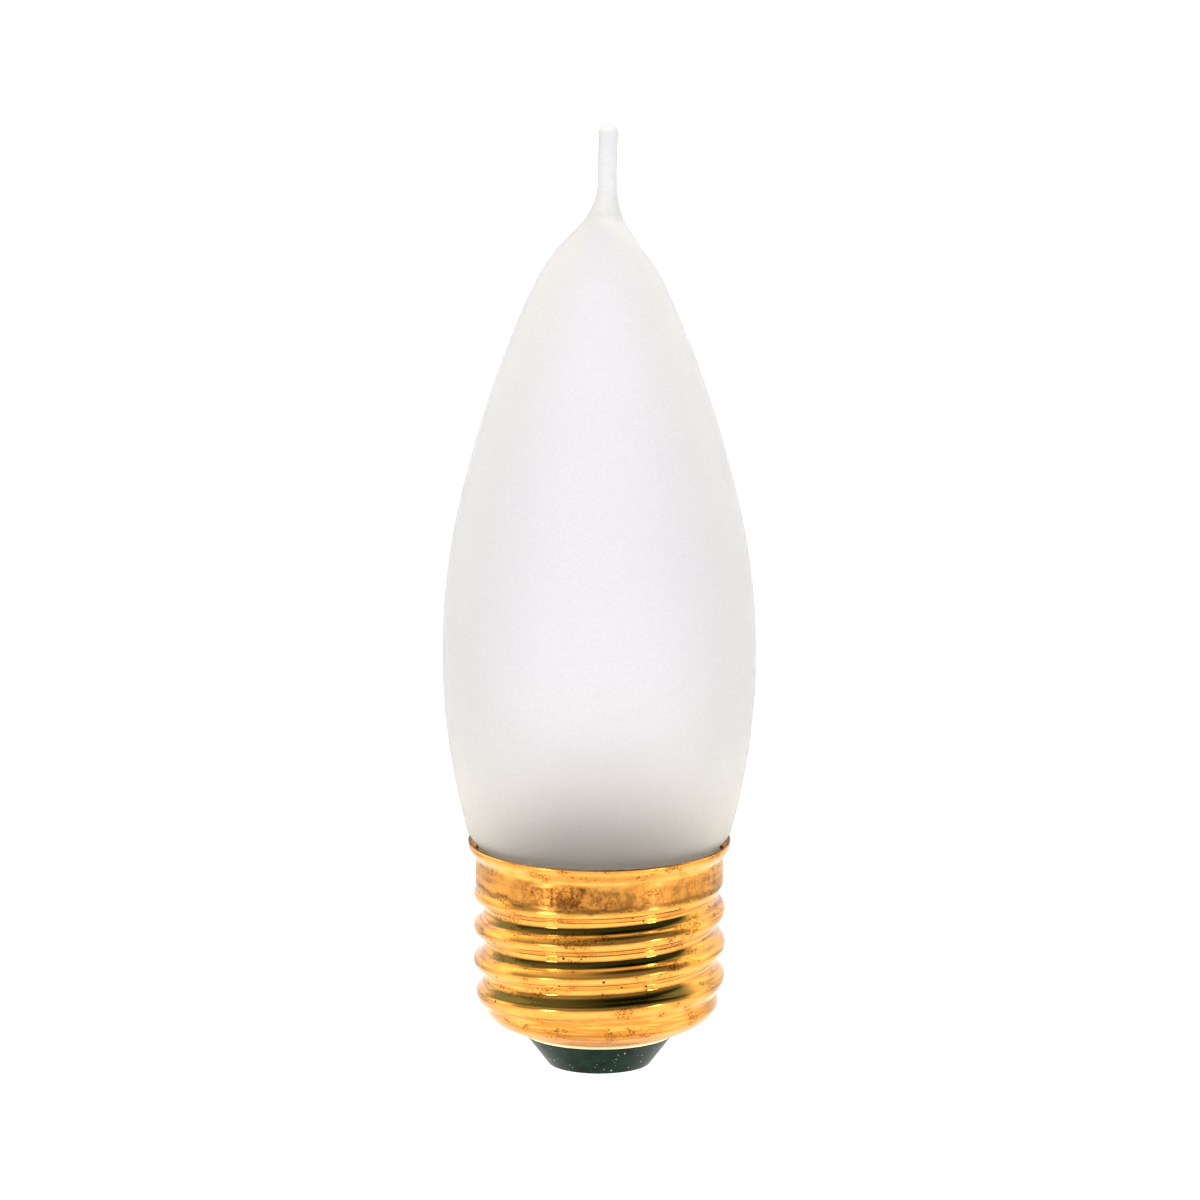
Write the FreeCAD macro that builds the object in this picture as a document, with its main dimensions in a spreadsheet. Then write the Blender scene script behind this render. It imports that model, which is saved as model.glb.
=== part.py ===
# Frosted candle lamp with a drawn, bent tip and a medium screw base.
# Millimetres. Z is the lamp's axis, tip up, and the origin is the lowest point of the centre contact.
# X is to the right and Y to the back of the lamp as it is usually seen.
import FreeCAD, Part
import math
import os
import Sketcher

doc = FreeCAD.newDocument("CandleLamp")
V = FreeCAD.Vector


# Driving dimensions

sizes = doc.addObject("Spreadsheet::Sheet", "Sizes")
driving = [
    # rolled brass screw shell, outside faces
    ("shell_wall", 0.25),
    ("thread_radius", 13.15),
    ("thread_depth", 1.05),
    ("thread_pitch", 3.629),
    ("crest_rise", 1.46),
    ("thread_height", 11.9),
    ("thread_top_fade", 2.0),
    ("thread_end_drop", 3.7),
    ("thread_end_fade", 7.0),
    ("skirt_inset", 0.2),
    ("skirt_height", 4.2),
    ("rim_flare", 0.77),
    ("rim_lip", 0.4),
    ("flare_rise", 1.4),
    ("bowl_bend_radius", 3.6),
    ("bowl_turn", 65),
    ("shell_hole_radius", 7.85),
    # glass, from the belly up to the drawn tail
    ("belly_swell", 2.68),
    ("belly_rise", 20.2),
    ("belly_arc_radius", 72),
    ("belly_turn", 12.5),
    ("flank_arc_radius", 123),
    ("shoulder_radius", 7.235),
    ("shoulder_arc_radius", 21.5),
    ("cone_radius", 4.49),
    # glass, from the rim down to the sealed foot and the end of the exhaust tube
    ("rim_clearance", 0.32),
    ("heel_turn", 50),
    ("heel_bend_radius", 3),
    ("slope_run", 1.1),
    ("neck_bend_radius", 2.5),
    ("neck_gap", 0.65),
    ("neck_run", 5.1),
    ("seal_round", 1.6),
    ("stem_bore_radius", 3.6),
    ("stem_bore_depth", 4.3),
    ("exhaust_radius", 1.9),
    ("exhaust_stand", 0.5),
    # drawn tail
    ("tail_radius", 1.0),
    ("tail_offset", 0.82),
    ("tail_flare_radius", 8),
    ("tail_root_shift", 0.3),
    ("tail_stand", 0.3),
    ("tail_bend_radius", 8),
    ("tail_bend_turn", 30),
    ("tail_end_run", 0.6),
    ("tail_azimuth", 84),
    ("tail_ball_radius", 1.06),
    # centre contact and its solder
    ("contact_radius", 4.5),
    ("contact_sheet", 0.3),
    ("contact_level", 0.85),
    ("eyelet_height", 1.2),
    ("eyelet_bore_radius", 0.5),
    ("solder_radius", 2.6),
    ("solder_flat_radius", 1.3),
    # black glass insulator
    ("contact_reveal", 0.15),
    ("foot_wall", 0.8),
    ("foot_round", 0.2),
    ("foot_turn", 37.43),
    ("foot_reveal", 0.21),
    ("flange_inset", 1.025),
    ("flange_edge", 1.3),
    ("dish_wall", 1.6),
    ("dish_depth", 2.0),
    ("wire_hole_radius", 1.05),
    # basing cement
    ("cement_stand", 0.4),
    ("cement_rise", 1.535),
    ("lead_slot_width", 0.36),
    # lead wires and the weld at the rim
    ("centre_lead_radius", 0.2),
    ("side_lead_radius", 0.12),
    ("lead_bend", 1.0),
    ("lead_small_bend", 0.5),
    ("lead_stand", 2.2),
    ("lead_entry", 0.9),
    ("lead_drop", 1.8),
    ("lead_rise", 0.28),
    ("weld_span", 7),
    ("weld_bead", 0.34),
    ("weld_drop", 0.8),
    # clearance between pieces that seat on each other
    ("seat_gap", 0.02),
]
for row, (alias, value) in enumerate(driving, start=1):
    sizes.set(f"A{row}", alias)
    sizes.set(f"B{row}", str(value))
    sizes.setAlias(f"B{row}", alias)

# Sizes that follow from the driving ones

levels = doc.addObject("App::VarSet", "Levels")


def derive(name, formula):
    levels.addProperty("App::PropertyFloat", name)
    levels.setExpression(name, formula)


doc.recompute()

# The cap's radii hang on the thread's, and the glass neck goes inside the thread.
derive("skirt_radius", "Sizes.thread_radius - Sizes.skirt_inset")
derive("skirt_bore_radius", "skirt_radius - Sizes.shell_wall")
derive("rim_radius", "skirt_radius + Sizes.rim_flare")
derive("thread_mid_radius", "Sizes.thread_radius - Sizes.thread_depth / 2")
derive("neck_radius", "Sizes.thread_radius - Sizes.thread_depth - Sizes.shell_wall - Sizes.neck_gap")

# The insulator's foot widens up to its waist in the shell's hole. From there the bowl is a cone and a bend.
derive("foot_level", "Sizes.contact_level + Sizes.contact_reveal")
derive("foot_radius", "Sizes.contact_radius + Sizes.foot_wall")
derive("waist_radius", "Sizes.shell_hole_radius - Sizes.shell_wall * cos(Sizes.bowl_turn * 1deg)"
       " - Sizes.seat_gap")
derive("waist_level", "foot_level + (waist_radius - foot_radius) / tan(Sizes.foot_turn * 1deg)")
derive("shell_hole_level", "waist_level + Sizes.foot_reveal")
derive("bowl_cone_radius", "thread_mid_radius - Sizes.bowl_bend_radius * (1 - cos(Sizes.bowl_turn * 1deg))")
derive("bowl_cone_level", "shell_hole_level + (bowl_cone_radius - Sizes.shell_hole_radius)"
       " / tan(Sizes.bowl_turn * 1deg)")
derive("bowl_level", "bowl_cone_level + Sizes.bowl_bend_radius * sin(Sizes.bowl_turn * 1deg)")

# The thread, the skirt and the rim stand on the bowl.
derive("thread_end_level", "bowl_level - Sizes.thread_end_drop")
derive("thread_crest_level", "bowl_level + Sizes.crest_rise")
derive("thread_top_level", "bowl_level + Sizes.thread_height")
derive("rim_level", "thread_top_level + Sizes.skirt_height")

# The insulator's flange lies on the bowl from inside, with a dish in its top.
derive("flange_seat_level", "shell_hole_level + (Sizes.shell_wall + Sizes.seat_gap)"
       " / sin(Sizes.bowl_turn * 1deg)")
derive("flange_radius", "bowl_cone_radius - Sizes.flange_inset")
derive("flange_edge_level", "flange_seat_level + (flange_radius - Sizes.shell_hole_radius)"
       " / tan(Sizes.bowl_turn * 1deg)")
derive("flange_level", "flange_edge_level + Sizes.flange_edge")
derive("dish_radius", "flange_radius - Sizes.dish_wall")
derive("dish_level", "flange_level - Sizes.dish_depth")

# The glass slopes past the rim's inner edge at a clearance, down to the neck and up to the heel.
derive("slope_line_radius", "rim_radius - Sizes.shell_wall"
       " - Sizes.rim_clearance * cos(Sizes.heel_turn * 1deg)")
derive("slope_line_level", "rim_level + Sizes.rim_clearance * sin(Sizes.heel_turn * 1deg)")
derive("neck_bend_end_radius", "neck_radius + Sizes.neck_bend_radius * (1 - cos(Sizes.heel_turn * 1deg))")
derive("neck_bend_end_level", "slope_line_level - (slope_line_radius - neck_bend_end_radius)"
       " / tan(Sizes.heel_turn * 1deg)")
derive("neck_level", "neck_bend_end_level - Sizes.neck_bend_radius * sin(Sizes.heel_turn * 1deg)")
derive("slope_radius", "neck_bend_end_radius + Sizes.slope_run * sin(Sizes.heel_turn * 1deg)")
derive("slope_level", "neck_bend_end_level + Sizes.slope_run * cos(Sizes.heel_turn * 1deg)")

# The lower belly is the one arc that touches both the heel's bend and the widest circle of the belly.
derive("bulb_radius", "rim_radius + Sizes.belly_swell")
derive("belly_level", "rim_level + Sizes.belly_rise")
derive("heel_reach", "bulb_radius - slope_radius + Sizes.heel_bend_radius * cos(Sizes.heel_turn * 1deg)")
derive("heel_drop", "belly_level - slope_level - Sizes.heel_bend_radius * sin(Sizes.heel_turn * 1deg)")
derive("low_belly_radius", "(heel_reach * heel_reach + heel_drop * heel_drop"
       " - Sizes.heel_bend_radius * Sizes.heel_bend_radius) / (2 * (heel_reach - Sizes.heel_bend_radius))")
derive("low_belly_turn", "asin(heel_drop / (low_belly_radius - Sizes.heel_bend_radius)) / 1deg")
derive("heel_radius", "bulb_radius - low_belly_radius * (1 - cos(low_belly_turn * 1deg))")
derive("heel_level", "belly_level - low_belly_radius * sin(low_belly_turn * 1deg)")

# Above the belly the outline turns through tangent arcs: belly, flank and shoulder, then a cone and a flare.
derive("flank_level", "belly_level + Sizes.belly_arc_radius * sin(Sizes.belly_turn * 1deg)")
derive("flank_radius", "bulb_radius - Sizes.belly_arc_radius * (1 - cos(Sizes.belly_turn * 1deg))")
derive("flank_turn", "acos(cos(Sizes.belly_turn * 1deg) - (flank_radius - Sizes.shoulder_radius)"
       " / Sizes.flank_arc_radius) / 1deg")
derive("shoulder_level", "flank_level + Sizes.flank_arc_radius"
       " * (sin(flank_turn * 1deg) - sin(Sizes.belly_turn * 1deg))")
derive("cone_turn", "acos(cos(flank_turn * 1deg) - (Sizes.shoulder_radius - Sizes.cone_radius)"
       " / Sizes.shoulder_arc_radius) / 1deg")
derive("cone_level", "shoulder_level + Sizes.shoulder_arc_radius"
       " * (sin(cone_turn * 1deg) - sin(flank_turn * 1deg))")
derive("flare_radius", "Sizes.tail_radius + Sizes.tail_flare_radius * (1 - cos(cone_turn * 1deg))")
derive("flare_level", "cone_level + (Sizes.cone_radius - flare_radius) / tan(cone_turn * 1deg)")
derive("flare_top_level", "flare_level + Sizes.tail_flare_radius * sin(cone_turn * 1deg)")

# The tail stands straight on its flare, bends over and ends in a small ball.
derive("tail_bend_level", "flare_top_level + Sizes.tail_stand")
derive("tail_bend_reach", "Sizes.tail_bend_radius * (1 - cos(Sizes.tail_bend_turn * 1deg))")
derive("tail_bend_end_level", "tail_bend_level + Sizes.tail_bend_radius * sin(Sizes.tail_bend_turn * 1deg)")
derive("tail_reach", "tail_bend_reach + Sizes.tail_end_run * sin(Sizes.tail_bend_turn * 1deg)")
derive("tail_end_level", "tail_bend_end_level + Sizes.tail_end_run * cos(Sizes.tail_bend_turn * 1deg)")
derive("tail_end_x", "Sizes.tail_offset + tail_reach * cos(Sizes.tail_azimuth * 1deg)")
derive("tail_end_y", "tail_reach * sin(Sizes.tail_azimuth * 1deg)")

# Inside the cap: the sealed foot of the neck, the exhaust tube's end, the leads and the cement.
derive("seal_level", "neck_level - Sizes.neck_run")
derive("stem_bore_level", "seal_level + Sizes.stem_bore_depth")
derive("lead_offset", "(Sizes.stem_bore_radius + Sizes.exhaust_radius) / 2")
derive("lead_turn_level", "flange_level + Sizes.lead_stand")
derive("lead_hole_level", "dish_level + Sizes.lead_entry")
derive("side_lead_level", "seal_level - Sizes.lead_drop")
derive("exhaust_level", "lead_turn_level + Sizes.exhaust_stand")
derive("cement_low_level", "thread_top_level + Sizes.cement_stand")
derive("cement_top_level", "neck_level + Sizes.cement_rise")
derive("solder_reach", "Sizes.solder_radius - Sizes.solder_flat_radius")
derive("solder_arc_radius", "(solder_reach * solder_reach + Sizes.contact_level * Sizes.contact_level)"
       " / (2 * Sizes.contact_level)")
doc.recompute()


def size(alias):
    return float(sizes.get(alias))


def level(name):
    return float(getattr(levels, name))


# Sketch and body helpers

def origin_part(body, role):
    return next(item for item in body.Origin.OriginFeatures if item.Role == role)


def new_body(label):
    body = doc.addObject("PartDesign::Body", label)
    body.Label = label
    return body


def new_sketch(body, name, plane):
    sketch = body.newObject("Sketcher::SketchObject", name)
    sketch.AttachmentSupport = (origin_part(body, plane), [""])
    sketch.MapMode = "FlatFace"
    return sketch


def place_vertex(sketch, geo, pos, x_formula, y_formula):
    """Ties one end of a sketch line to its two formulas."""
    for axis, formula, other in (("DistanceX", x_formula, -2), ("DistanceY", y_formula, -1)):
        if formula == "0":
            sketch.addConstraint(Sketcher.Constraint("PointOnObject", geo, pos, other))
            continue
        value = float(sketch.evalExpression(formula))
        index = sketch.addConstraint(Sketcher.Constraint(axis, -1, 1, geo, pos, value))
        sketch.setExpression(f"Constraints[{index}]", formula)


def arc_between(start, end, radius, side):
    """Short arc from start to end with its centre on the left (1) or the right (-1) of the way."""
    chord = end - start
    middle = (start + end) / 2
    left = V(-chord.y, chord.x, 0).normalize()
    rise = math.sqrt(max(radius ** 2 - (chord.Length / 2) ** 2, 0))
    centre = middle + left * rise * side
    first = math.atan2(start.y - centre.y, start.x - centre.x)
    last = math.atan2(end.y - centre.y, end.x - centre.x)
    if side < 0:
        first, last = last, first
    if last < first:
        last += 2 * math.pi
    return Part.ArcOfCircle(Part.Circle(centre, V(0, 0, 1), radius), first, last)


def draw_outline(sketch, corners, closed=True):
    """Draws lines, and arcs where a corner names a radius and a side, from each corner to the next."""
    spots = [V(*(float(sketch.evalExpression(formula)) for formula in corner[:2]), 0) for corner in corners]
    count = len(corners) if closed else len(corners) - 1
    ends = []
    for i in range(count):
        start, end = spots[i], spots[(i + 1) % len(spots)]
        if len(corners[i]) == 2:
            geo = sketch.addGeometry(Part.LineSegment(start, end), False)
            ends.append((geo, 1, 2))
            continue
        radius_formula, side = corners[i][2:]
        radius = float(sketch.evalExpression(radius_formula))
        geo = sketch.addGeometry(arc_between(start, end, radius, side), False)
        ends.append((geo, 1, 2) if side > 0 else (geo, 2, 1))
        index = sketch.addConstraint(Sketcher.Constraint("Radius", geo, radius))
        sketch.setExpression(f"Constraints[{index}]", radius_formula)
    for i in range(count):
        geo, first, last = ends[i]
        place_vertex(sketch, geo, first, *corners[i][:2])
        if i + 1 < count or closed:
            following = ends[(i + 1) % count]
            sketch.addConstraint(Sketcher.Constraint("Coincident", geo, last, following[0], following[1]))
        else:
            place_vertex(sketch, geo, last, *corners[i + 1][:2])


def draw_ring(body, name, radius_formula, x_formula, z_formula):
    """A level circle, its centre on the X axis or beside it."""
    ring = new_sketch(body, name, "XY_Plane")
    ring.setExpression("AttachmentOffset.Base.x", x_formula)
    ring.setExpression("AttachmentOffset.Base.z", z_formula)
    radius = float(ring.evalExpression(radius_formula))
    ring.addGeometry(Part.Circle(V(0, 0, 0), V(0, 0, 1), radius), False)
    ring.addConstraint(Sketcher.Constraint("Coincident", 0, 3, -1, 1))
    index = ring.addConstraint(Sketcher.Constraint("Radius", 0, radius))
    ring.setExpression(f"Constraints[{index}]", radius_formula)
    return ring


def revolve(body, name, corners):
    sketch = new_sketch(body, f"{name}Outline", "XZ_Plane")
    draw_outline(sketch, corners)
    turned = body.newObject("PartDesign::Revolution", name)
    turned.Profile = sketch
    turned.ReferenceAxis = (sketch, ["V_Axis"])
    turned.Angle = 360
    return turned


def bent_wire(label, radius, stops, bends):
    """Round wire through the stops in the YZ plane, with an arc of its own radius at each inner stop."""
    spots = [V(0, y, z) for y, z in stops]
    edges = []
    here = spots[0]
    for i, bend in enumerate(bends, start=1):
        back = (spots[i - 1] - spots[i]).normalize()
        ahead = (spots[i + 1] - spots[i]).normalize()
        half = back.getAngle(ahead) / 2
        setback = bend / math.tan(half)
        first = spots[i] + back * setback
        last = spots[i] + ahead * setback
        inward = (back + ahead).normalize()
        middle = spots[i] + inward * (bend / math.sin(half) - bend)
        edges.append(Part.LineSegment(here, first).toShape())
        edges.append(Part.Arc(first, middle, last).toShape())
        here = last
    edges.append(Part.LineSegment(here, spots[-1]).toShape())
    path = Part.Wire(edges)
    ring = Part.Wire([Part.Circle(spots[0], spots[1] - spots[0], radius).toShape()])
    lead = doc.addObject("Part::Feature", label)
    lead.Label = label
    lead.Shape = path.makePipeShell([ring], True, False)
    return lead


# Glass bulb, one sealed piece: body, neck, stem bore with the exhaust tube's end, and the drawn tail

FLARE_STEPS = 4


def make_glass_bulb():
    body = new_body("glass_bulb")
    revolve(body, "BulbTurned", [
        ("0", "Levels.exhaust_level", "Sizes.exhaust_radius", 1),
        ("Sizes.exhaust_radius", "Levels.exhaust_level + Sizes.exhaust_radius"),
        ("Sizes.exhaust_radius", "Levels.stem_bore_level"),
        ("Sizes.stem_bore_radius", "Levels.stem_bore_level"),
        ("Sizes.stem_bore_radius", "Levels.seal_level + Sizes.seal_round", "Sizes.seal_round", 1),
        ("Sizes.stem_bore_radius + Sizes.seal_round", "Levels.seal_level"),
        ("Levels.neck_radius - Sizes.seal_round", "Levels.seal_level", "Sizes.seal_round", 1),
        ("Levels.neck_radius", "Levels.seal_level + Sizes.seal_round"),
        ("Levels.neck_radius", "Levels.neck_level", "Sizes.neck_bend_radius", -1),
        ("Levels.neck_bend_end_radius", "Levels.neck_bend_end_level"),
        ("Levels.slope_radius", "Levels.slope_level", "Sizes.heel_bend_radius", 1),
        ("Levels.heel_radius", "Levels.heel_level", "Levels.low_belly_radius", 1),
        ("Levels.bulb_radius", "Levels.belly_level", "Sizes.belly_arc_radius", 1),
        ("Levels.flank_radius", "Levels.flank_level", "Sizes.flank_arc_radius", 1),
        ("Sizes.shoulder_radius", "Levels.shoulder_level", "Sizes.shoulder_arc_radius", 1),
        ("Sizes.cone_radius", "Levels.cone_level"),
        ("0", "Levels.cone_level"),
    ])

    # The glass was drawn out of the cone in one hollow sweep, a little to the side of the axis.
    rings = [draw_ring(body, "ConeRing", "Sizes.cone_radius", "0", "Levels.cone_level")]
    for step in range(FLARE_STEPS + 1):
        left = 1 - step / FLARE_STEPS
        turn = f"(Levels.cone_turn * {left:.4f} * 1deg)"
        rings.append(draw_ring(
            body, f"FlareRing{step}",
            f"Sizes.tail_radius + Sizes.tail_flare_radius * (1 - cos{turn})",
            f"Sizes.tail_offset - (Sizes.tail_offset - Sizes.tail_root_shift) * {left ** 2:.4f}",
            f"Levels.flare_top_level - Sizes.tail_flare_radius * sin{turn}"))
    flare = body.newObject("PartDesign::AdditiveLoft", "Flare")
    flare.Profile = rings[0]
    flare.Sections = rings[1:]

    # The tail's line stands beside the axis and bends in its own upright plane.
    path = new_sketch(body, "TailLine", "XZ_Plane")
    path.AttachmentOffset = FreeCAD.Placement(V(size("tail_offset"), 0, 0),
                                              FreeCAD.Rotation(V(0, 1, 0), size("tail_azimuth")))
    path.setExpression("AttachmentOffset.Base.x", "Sizes.tail_offset")
    path.setExpression("AttachmentOffset.Rotation.Angle", "Sizes.tail_azimuth * 1deg")
    draw_outline(path, [
        ("0", "Levels.flare_top_level"),
        ("0", "Levels.tail_bend_level", "Sizes.tail_bend_radius", -1),
        ("Levels.tail_bend_reach", "Levels.tail_bend_end_level"),
        ("Levels.tail_reach", "Levels.tail_end_level"),
    ], closed=False)
    tail = body.newObject("PartDesign::AdditivePipe", "Tail")
    tail.Profile = draw_ring(body, "TailRing", "Sizes.tail_radius", "Sizes.tail_offset",
                             "Levels.flare_top_level")
    tail.Spine = (path, ["Edge1", "Edge2", "Edge3"])

    ball = body.newObject("PartDesign::AdditiveSphere", "TailBall")
    ball.setExpression("Radius", "Sizes.tail_ball_radius")
    ball.setExpression("Placement.Base.x", "Levels.tail_end_x")
    ball.setExpression("Placement.Base.y", "Levels.tail_end_y")
    ball.setExpression("Placement.Base.z", "Levels.tail_end_level")
    return body


# Screw shell: one rolled brass sheet with a flared rim, a plain skirt, a knuckle thread and a bowl.
# The thread runs out into the skirt and into the bowl, on both faces of the sheet. No sweep gives that,
# so the two faces are surfaces drawn through their stations by formula.

AROUND = 36
LIP_STEP = 0.2
THREAD_STEP = 0.26
SKIRT_STEP = 0.6


def ease(share):
    share = min(max(share, 0.0), 1.0)
    return share * share * (3 - 2 * share)


def knuckle(offset):
    """Height of the thread over its mean, from two equal tangent arcs a pitch."""
    pitch = size("thread_pitch")
    depth = size("thread_depth")
    radius = ((pitch / 2) ** 2 + depth ** 2) / (4 * depth)
    away = abs((offset / pitch + 0.5) % 1.0 - 0.5) * pitch
    if away <= pitch / 4:
        return math.sqrt(radius ** 2 - away ** 2) - radius + depth / 2
    return radius - depth / 2 - math.sqrt(radius ** 2 - (pitch / 2 - away) ** 2)


def spread(first, last, step):
    count = max(2, round(abs(last - first) / step))
    return [first + (last - first) * i / count for i in range(count)]


def shell_stations():
    """Stations of the shell's outer outline without its thread: radius, level and outward direction."""
    rim, skirt = level("rim_radius"), level("skirt_radius")
    flare_top = level("rim_level") - size("rim_lip")
    flare_low = flare_top - size("flare_rise")
    thread_top = level("thread_top_level")
    bowl_top = level("bowl_level")
    mid = level("thread_mid_radius")
    heights = spread(level("rim_level"), flare_low, LIP_STEP)
    heights += spread(flare_low, thread_top, SKIRT_STEP)
    heights += spread(thread_top, bowl_top, THREAD_STEP)
    stations = []
    for z in heights:
        flare = ease((z - flare_low) / size("flare_rise"))
        rolled = ease((thread_top - z) / size("thread_top_fade"))
        radius = skirt + (rim - skirt) * flare + (mid - skirt) * rolled
        stations.append((radius, z, V(1, 0, 0)))
    bend = size("bowl_bend_radius")
    turn = math.radians(size("bowl_turn"))
    for angle in spread(0, turn, THREAD_STEP / bend):
        stations.append((mid - bend * (1 - math.cos(angle)), bowl_top - bend * math.sin(angle),
                         V(math.cos(angle), 0, -math.sin(angle))))
    start, end = level("bowl_cone_radius"), size("shell_hole_radius")
    down = V(math.cos(turn), 0, -math.sin(turn))
    for radius in spread(start, end, THREAD_STEP) + [end]:
        z = level("bowl_cone_level") - (start - radius) / math.tan(turn)
        stations.append((radius, z, down))
    return stations


def thread_share(z):
    """How much of its full depth the thread has at a level."""
    top = ease((level("thread_top_level") - z) / size("thread_top_fade"))
    end = ease((z - level("thread_end_level")) / size("thread_end_fade"))
    return top * end


def shell_section(stations, azimuth):
    """Outer and inner points of the sheet in the half plane at one azimuth, as radius and level."""
    crest = level("thread_crest_level") + size("thread_pitch") * azimuth / (2 * math.pi)
    outer = []
    for radius, z, outward in stations:
        lift = thread_share(z) * knuckle(z - crest)
        outer.append(V(radius, 0, z) + outward * lift)
    inner = []
    for i, point in enumerate(outer):
        along = outer[min(i + 1, len(outer) - 1)] - outer[max(i - 1, 0)]
        inward = V(along.z, 0, -along.x).normalize()
        inner.append(point + inward * size("shell_wall"))
    return outer, inner


def closed_skin(rows):
    """Cubic surface, closed around the axis, over rows of points that are evenly spread around it."""
    count = len(rows[0])
    skin = Part.BSplineSurface()
    skin.buildFromPolesMultsKnots(
        rows, [1] * (len(rows) + 1), [4] + [1] * (count - 4) + [4],
        [float(i) for i in range(len(rows) + 1)], [float(i) for i in range(count - 2)],
        True, False, 3, 3)
    return skin.toShape()


def make_screw_shell():
    stations = shell_stations()
    # A cubic surface lies a little inside its evenly spread control points, so they stand out by this factor.
    stand_out = 6 / (4 + 2 * math.cos(2 * math.pi / AROUND))
    outer_rows, inner_rows = [], []
    for i in range(AROUND):
        azimuth = 2 * math.pi * i / AROUND
        across = V(math.cos(azimuth), math.sin(azimuth), 0) * stand_out
        for rows, points in zip((outer_rows, inner_rows), shell_section(stations, azimuth)):
            rows.append([across * point.x + V(0, 0, point.z) for point in points])
    outer = closed_skin(outer_rows)
    inner = closed_skin(inner_rows)

    def end_edge(skin, highest):
        rings = [edge for edge in skin.Edges if edge.BoundBox.ZLength < size("thread_pitch")]
        return sorted(rings, key=lambda edge: edge.BoundBox.ZMax)[-1 if highest else 0]

    ends = [Part.makeRuledSurface(end_edge(outer, top), end_edge(inner, top)) for top in (True, False)]
    sheet = Part.makeShell([outer.Faces[0], inner.Faces[0]] + [end.Faces[0] for end in ends])
    sheet.sewShape()
    solid = Part.makeSolid(Part.Shell(sheet.Faces))
    if solid.Volume < 0:
        solid.reverse()
    shell = doc.addObject("Part::Feature", "screw_shell")
    shell.Label = "screw_shell"
    shell.Shape = solid
    return shell


# Black glass insulator, moulded through the hole in the shell's bowl

def make_base_insulator():
    body = new_body("base_insulator")
    recess = "Sizes.contact_radius + Sizes.seat_gap"
    contact_top = "Sizes.contact_level + Sizes.contact_sheet"
    turned = revolve(body, "InsulatorTurned", [
        ("Sizes.wire_hole_radius", contact_top),
        (recess, contact_top),
        (recess, "Levels.foot_level"),
        ("Levels.foot_radius", "Levels.foot_level"),
        ("Levels.waist_radius", "Levels.waist_level"),
        ("Levels.waist_radius", "Levels.flange_seat_level"
         " - (Sizes.shell_hole_radius - Levels.waist_radius) / tan(Sizes.bowl_turn * 1deg)"),
        ("Levels.flange_radius", "Levels.flange_edge_level"),
        ("Levels.flange_radius", "Levels.flange_level"),
        ("Levels.dish_radius", "Levels.flange_level"),
        ("Levels.dish_radius - Sizes.dish_depth", "Levels.dish_level"),
        ("Sizes.wire_hole_radius", "Levels.dish_level"),
    ])
    doc.recompute()
    rim = [f"Edge{i}" for i, edge in enumerate(turned.Shape.Edges, start=1)
           if edge.BoundBox.ZLength < size("seat_gap")
           and abs(edge.BoundBox.ZMin - level("foot_level")) < size("seat_gap")
           and abs(edge.BoundBox.XMax - level("foot_radius")) < size("seat_gap")]
    rounded = body.newObject("PartDesign::Fillet", "FootRound")
    rounded.Base = (turned, rim)
    rounded.Radius = size("foot_round")
    rounded.setExpression("Radius", "Sizes.foot_round")
    return body


# Centre contact: a pressed brass disc with an eyelet up into the insulator

def make_centre_contact():
    body = new_body("centre_contact")
    disc_top = "Sizes.contact_level + Sizes.contact_sheet"
    eyelet = "Sizes.wire_hole_radius - Sizes.seat_gap"
    revolve(body, "ContactTurned", [
        ("Sizes.eyelet_bore_radius", "Sizes.contact_level"),
        ("Sizes.contact_radius", "Sizes.contact_level"),
        ("Sizes.contact_radius", disc_top),
        (eyelet, disc_top),
        (eyelet, f"{disc_top} + Sizes.eyelet_height"),
        ("Sizes.eyelet_bore_radius", f"{disc_top} + Sizes.eyelet_height"),
    ])
    return body


# Solder bead on the contact, with the small flat that the socket's spring rests on

def make_contact_solder():
    body = new_body("contact_solder")
    revolve(body, "SolderTurned", [
        ("0", "0"),
        ("Sizes.solder_flat_radius", "0", "Levels.solder_arc_radius", 1),
        ("Sizes.solder_radius", "Sizes.contact_level"),
        ("0", "Sizes.contact_level"),
    ])
    return body


# Basing cement: a ring between the glass neck and the skirt, with a slot that the side lead passes

def make_basing_cement():
    body = new_body("basing_cement")
    outside = "Levels.skirt_bore_radius - Sizes.seat_gap"
    inside = "Levels.neck_radius + Sizes.seat_gap"
    bend = "(Sizes.neck_bend_radius - Sizes.seat_gap)"
    rise = "(Levels.cement_top_level - Levels.neck_level)"
    revolve(body, "CementTurned", [
        (inside, "Levels.cement_low_level"),
        (outside, "Levels.cement_low_level"),
        (outside, "Levels.cement_top_level"),
        (f"{inside} + {bend} - sqrt({bend} * {bend} - {rise} * {rise})", "Levels.cement_top_level",
         bend, 1),
        (inside, "Levels.neck_level"),
    ])
    slot = new_sketch(body, "LeadSlotOutline", "XY_Plane")
    slot.AttachmentOffset = FreeCAD.Placement(V(0, 0, level("cement_top_level")), FreeCAD.Rotation())
    slot.setExpression("AttachmentOffset.Base.z", "Levels.cement_top_level")
    draw_outline(slot, [
        ("-Sizes.lead_slot_width / 2", "Levels.neck_radius / 2"),
        ("Sizes.lead_slot_width / 2", "Levels.neck_radius / 2"),
        ("Sizes.lead_slot_width / 2", "Levels.skirt_radius"),
        ("-Sizes.lead_slot_width / 2", "Levels.skirt_radius"),
    ])
    cut = body.newObject("PartDesign::Pocket", "LeadSlot")
    cut.Profile = slot
    cut.Type = "ThroughAll"
    return body


# Lead wires. They leave the glass inside the stem bore, one down to the centre contact and one
# round the neck, through the cement and up inside the flared rim to its weld.

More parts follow.
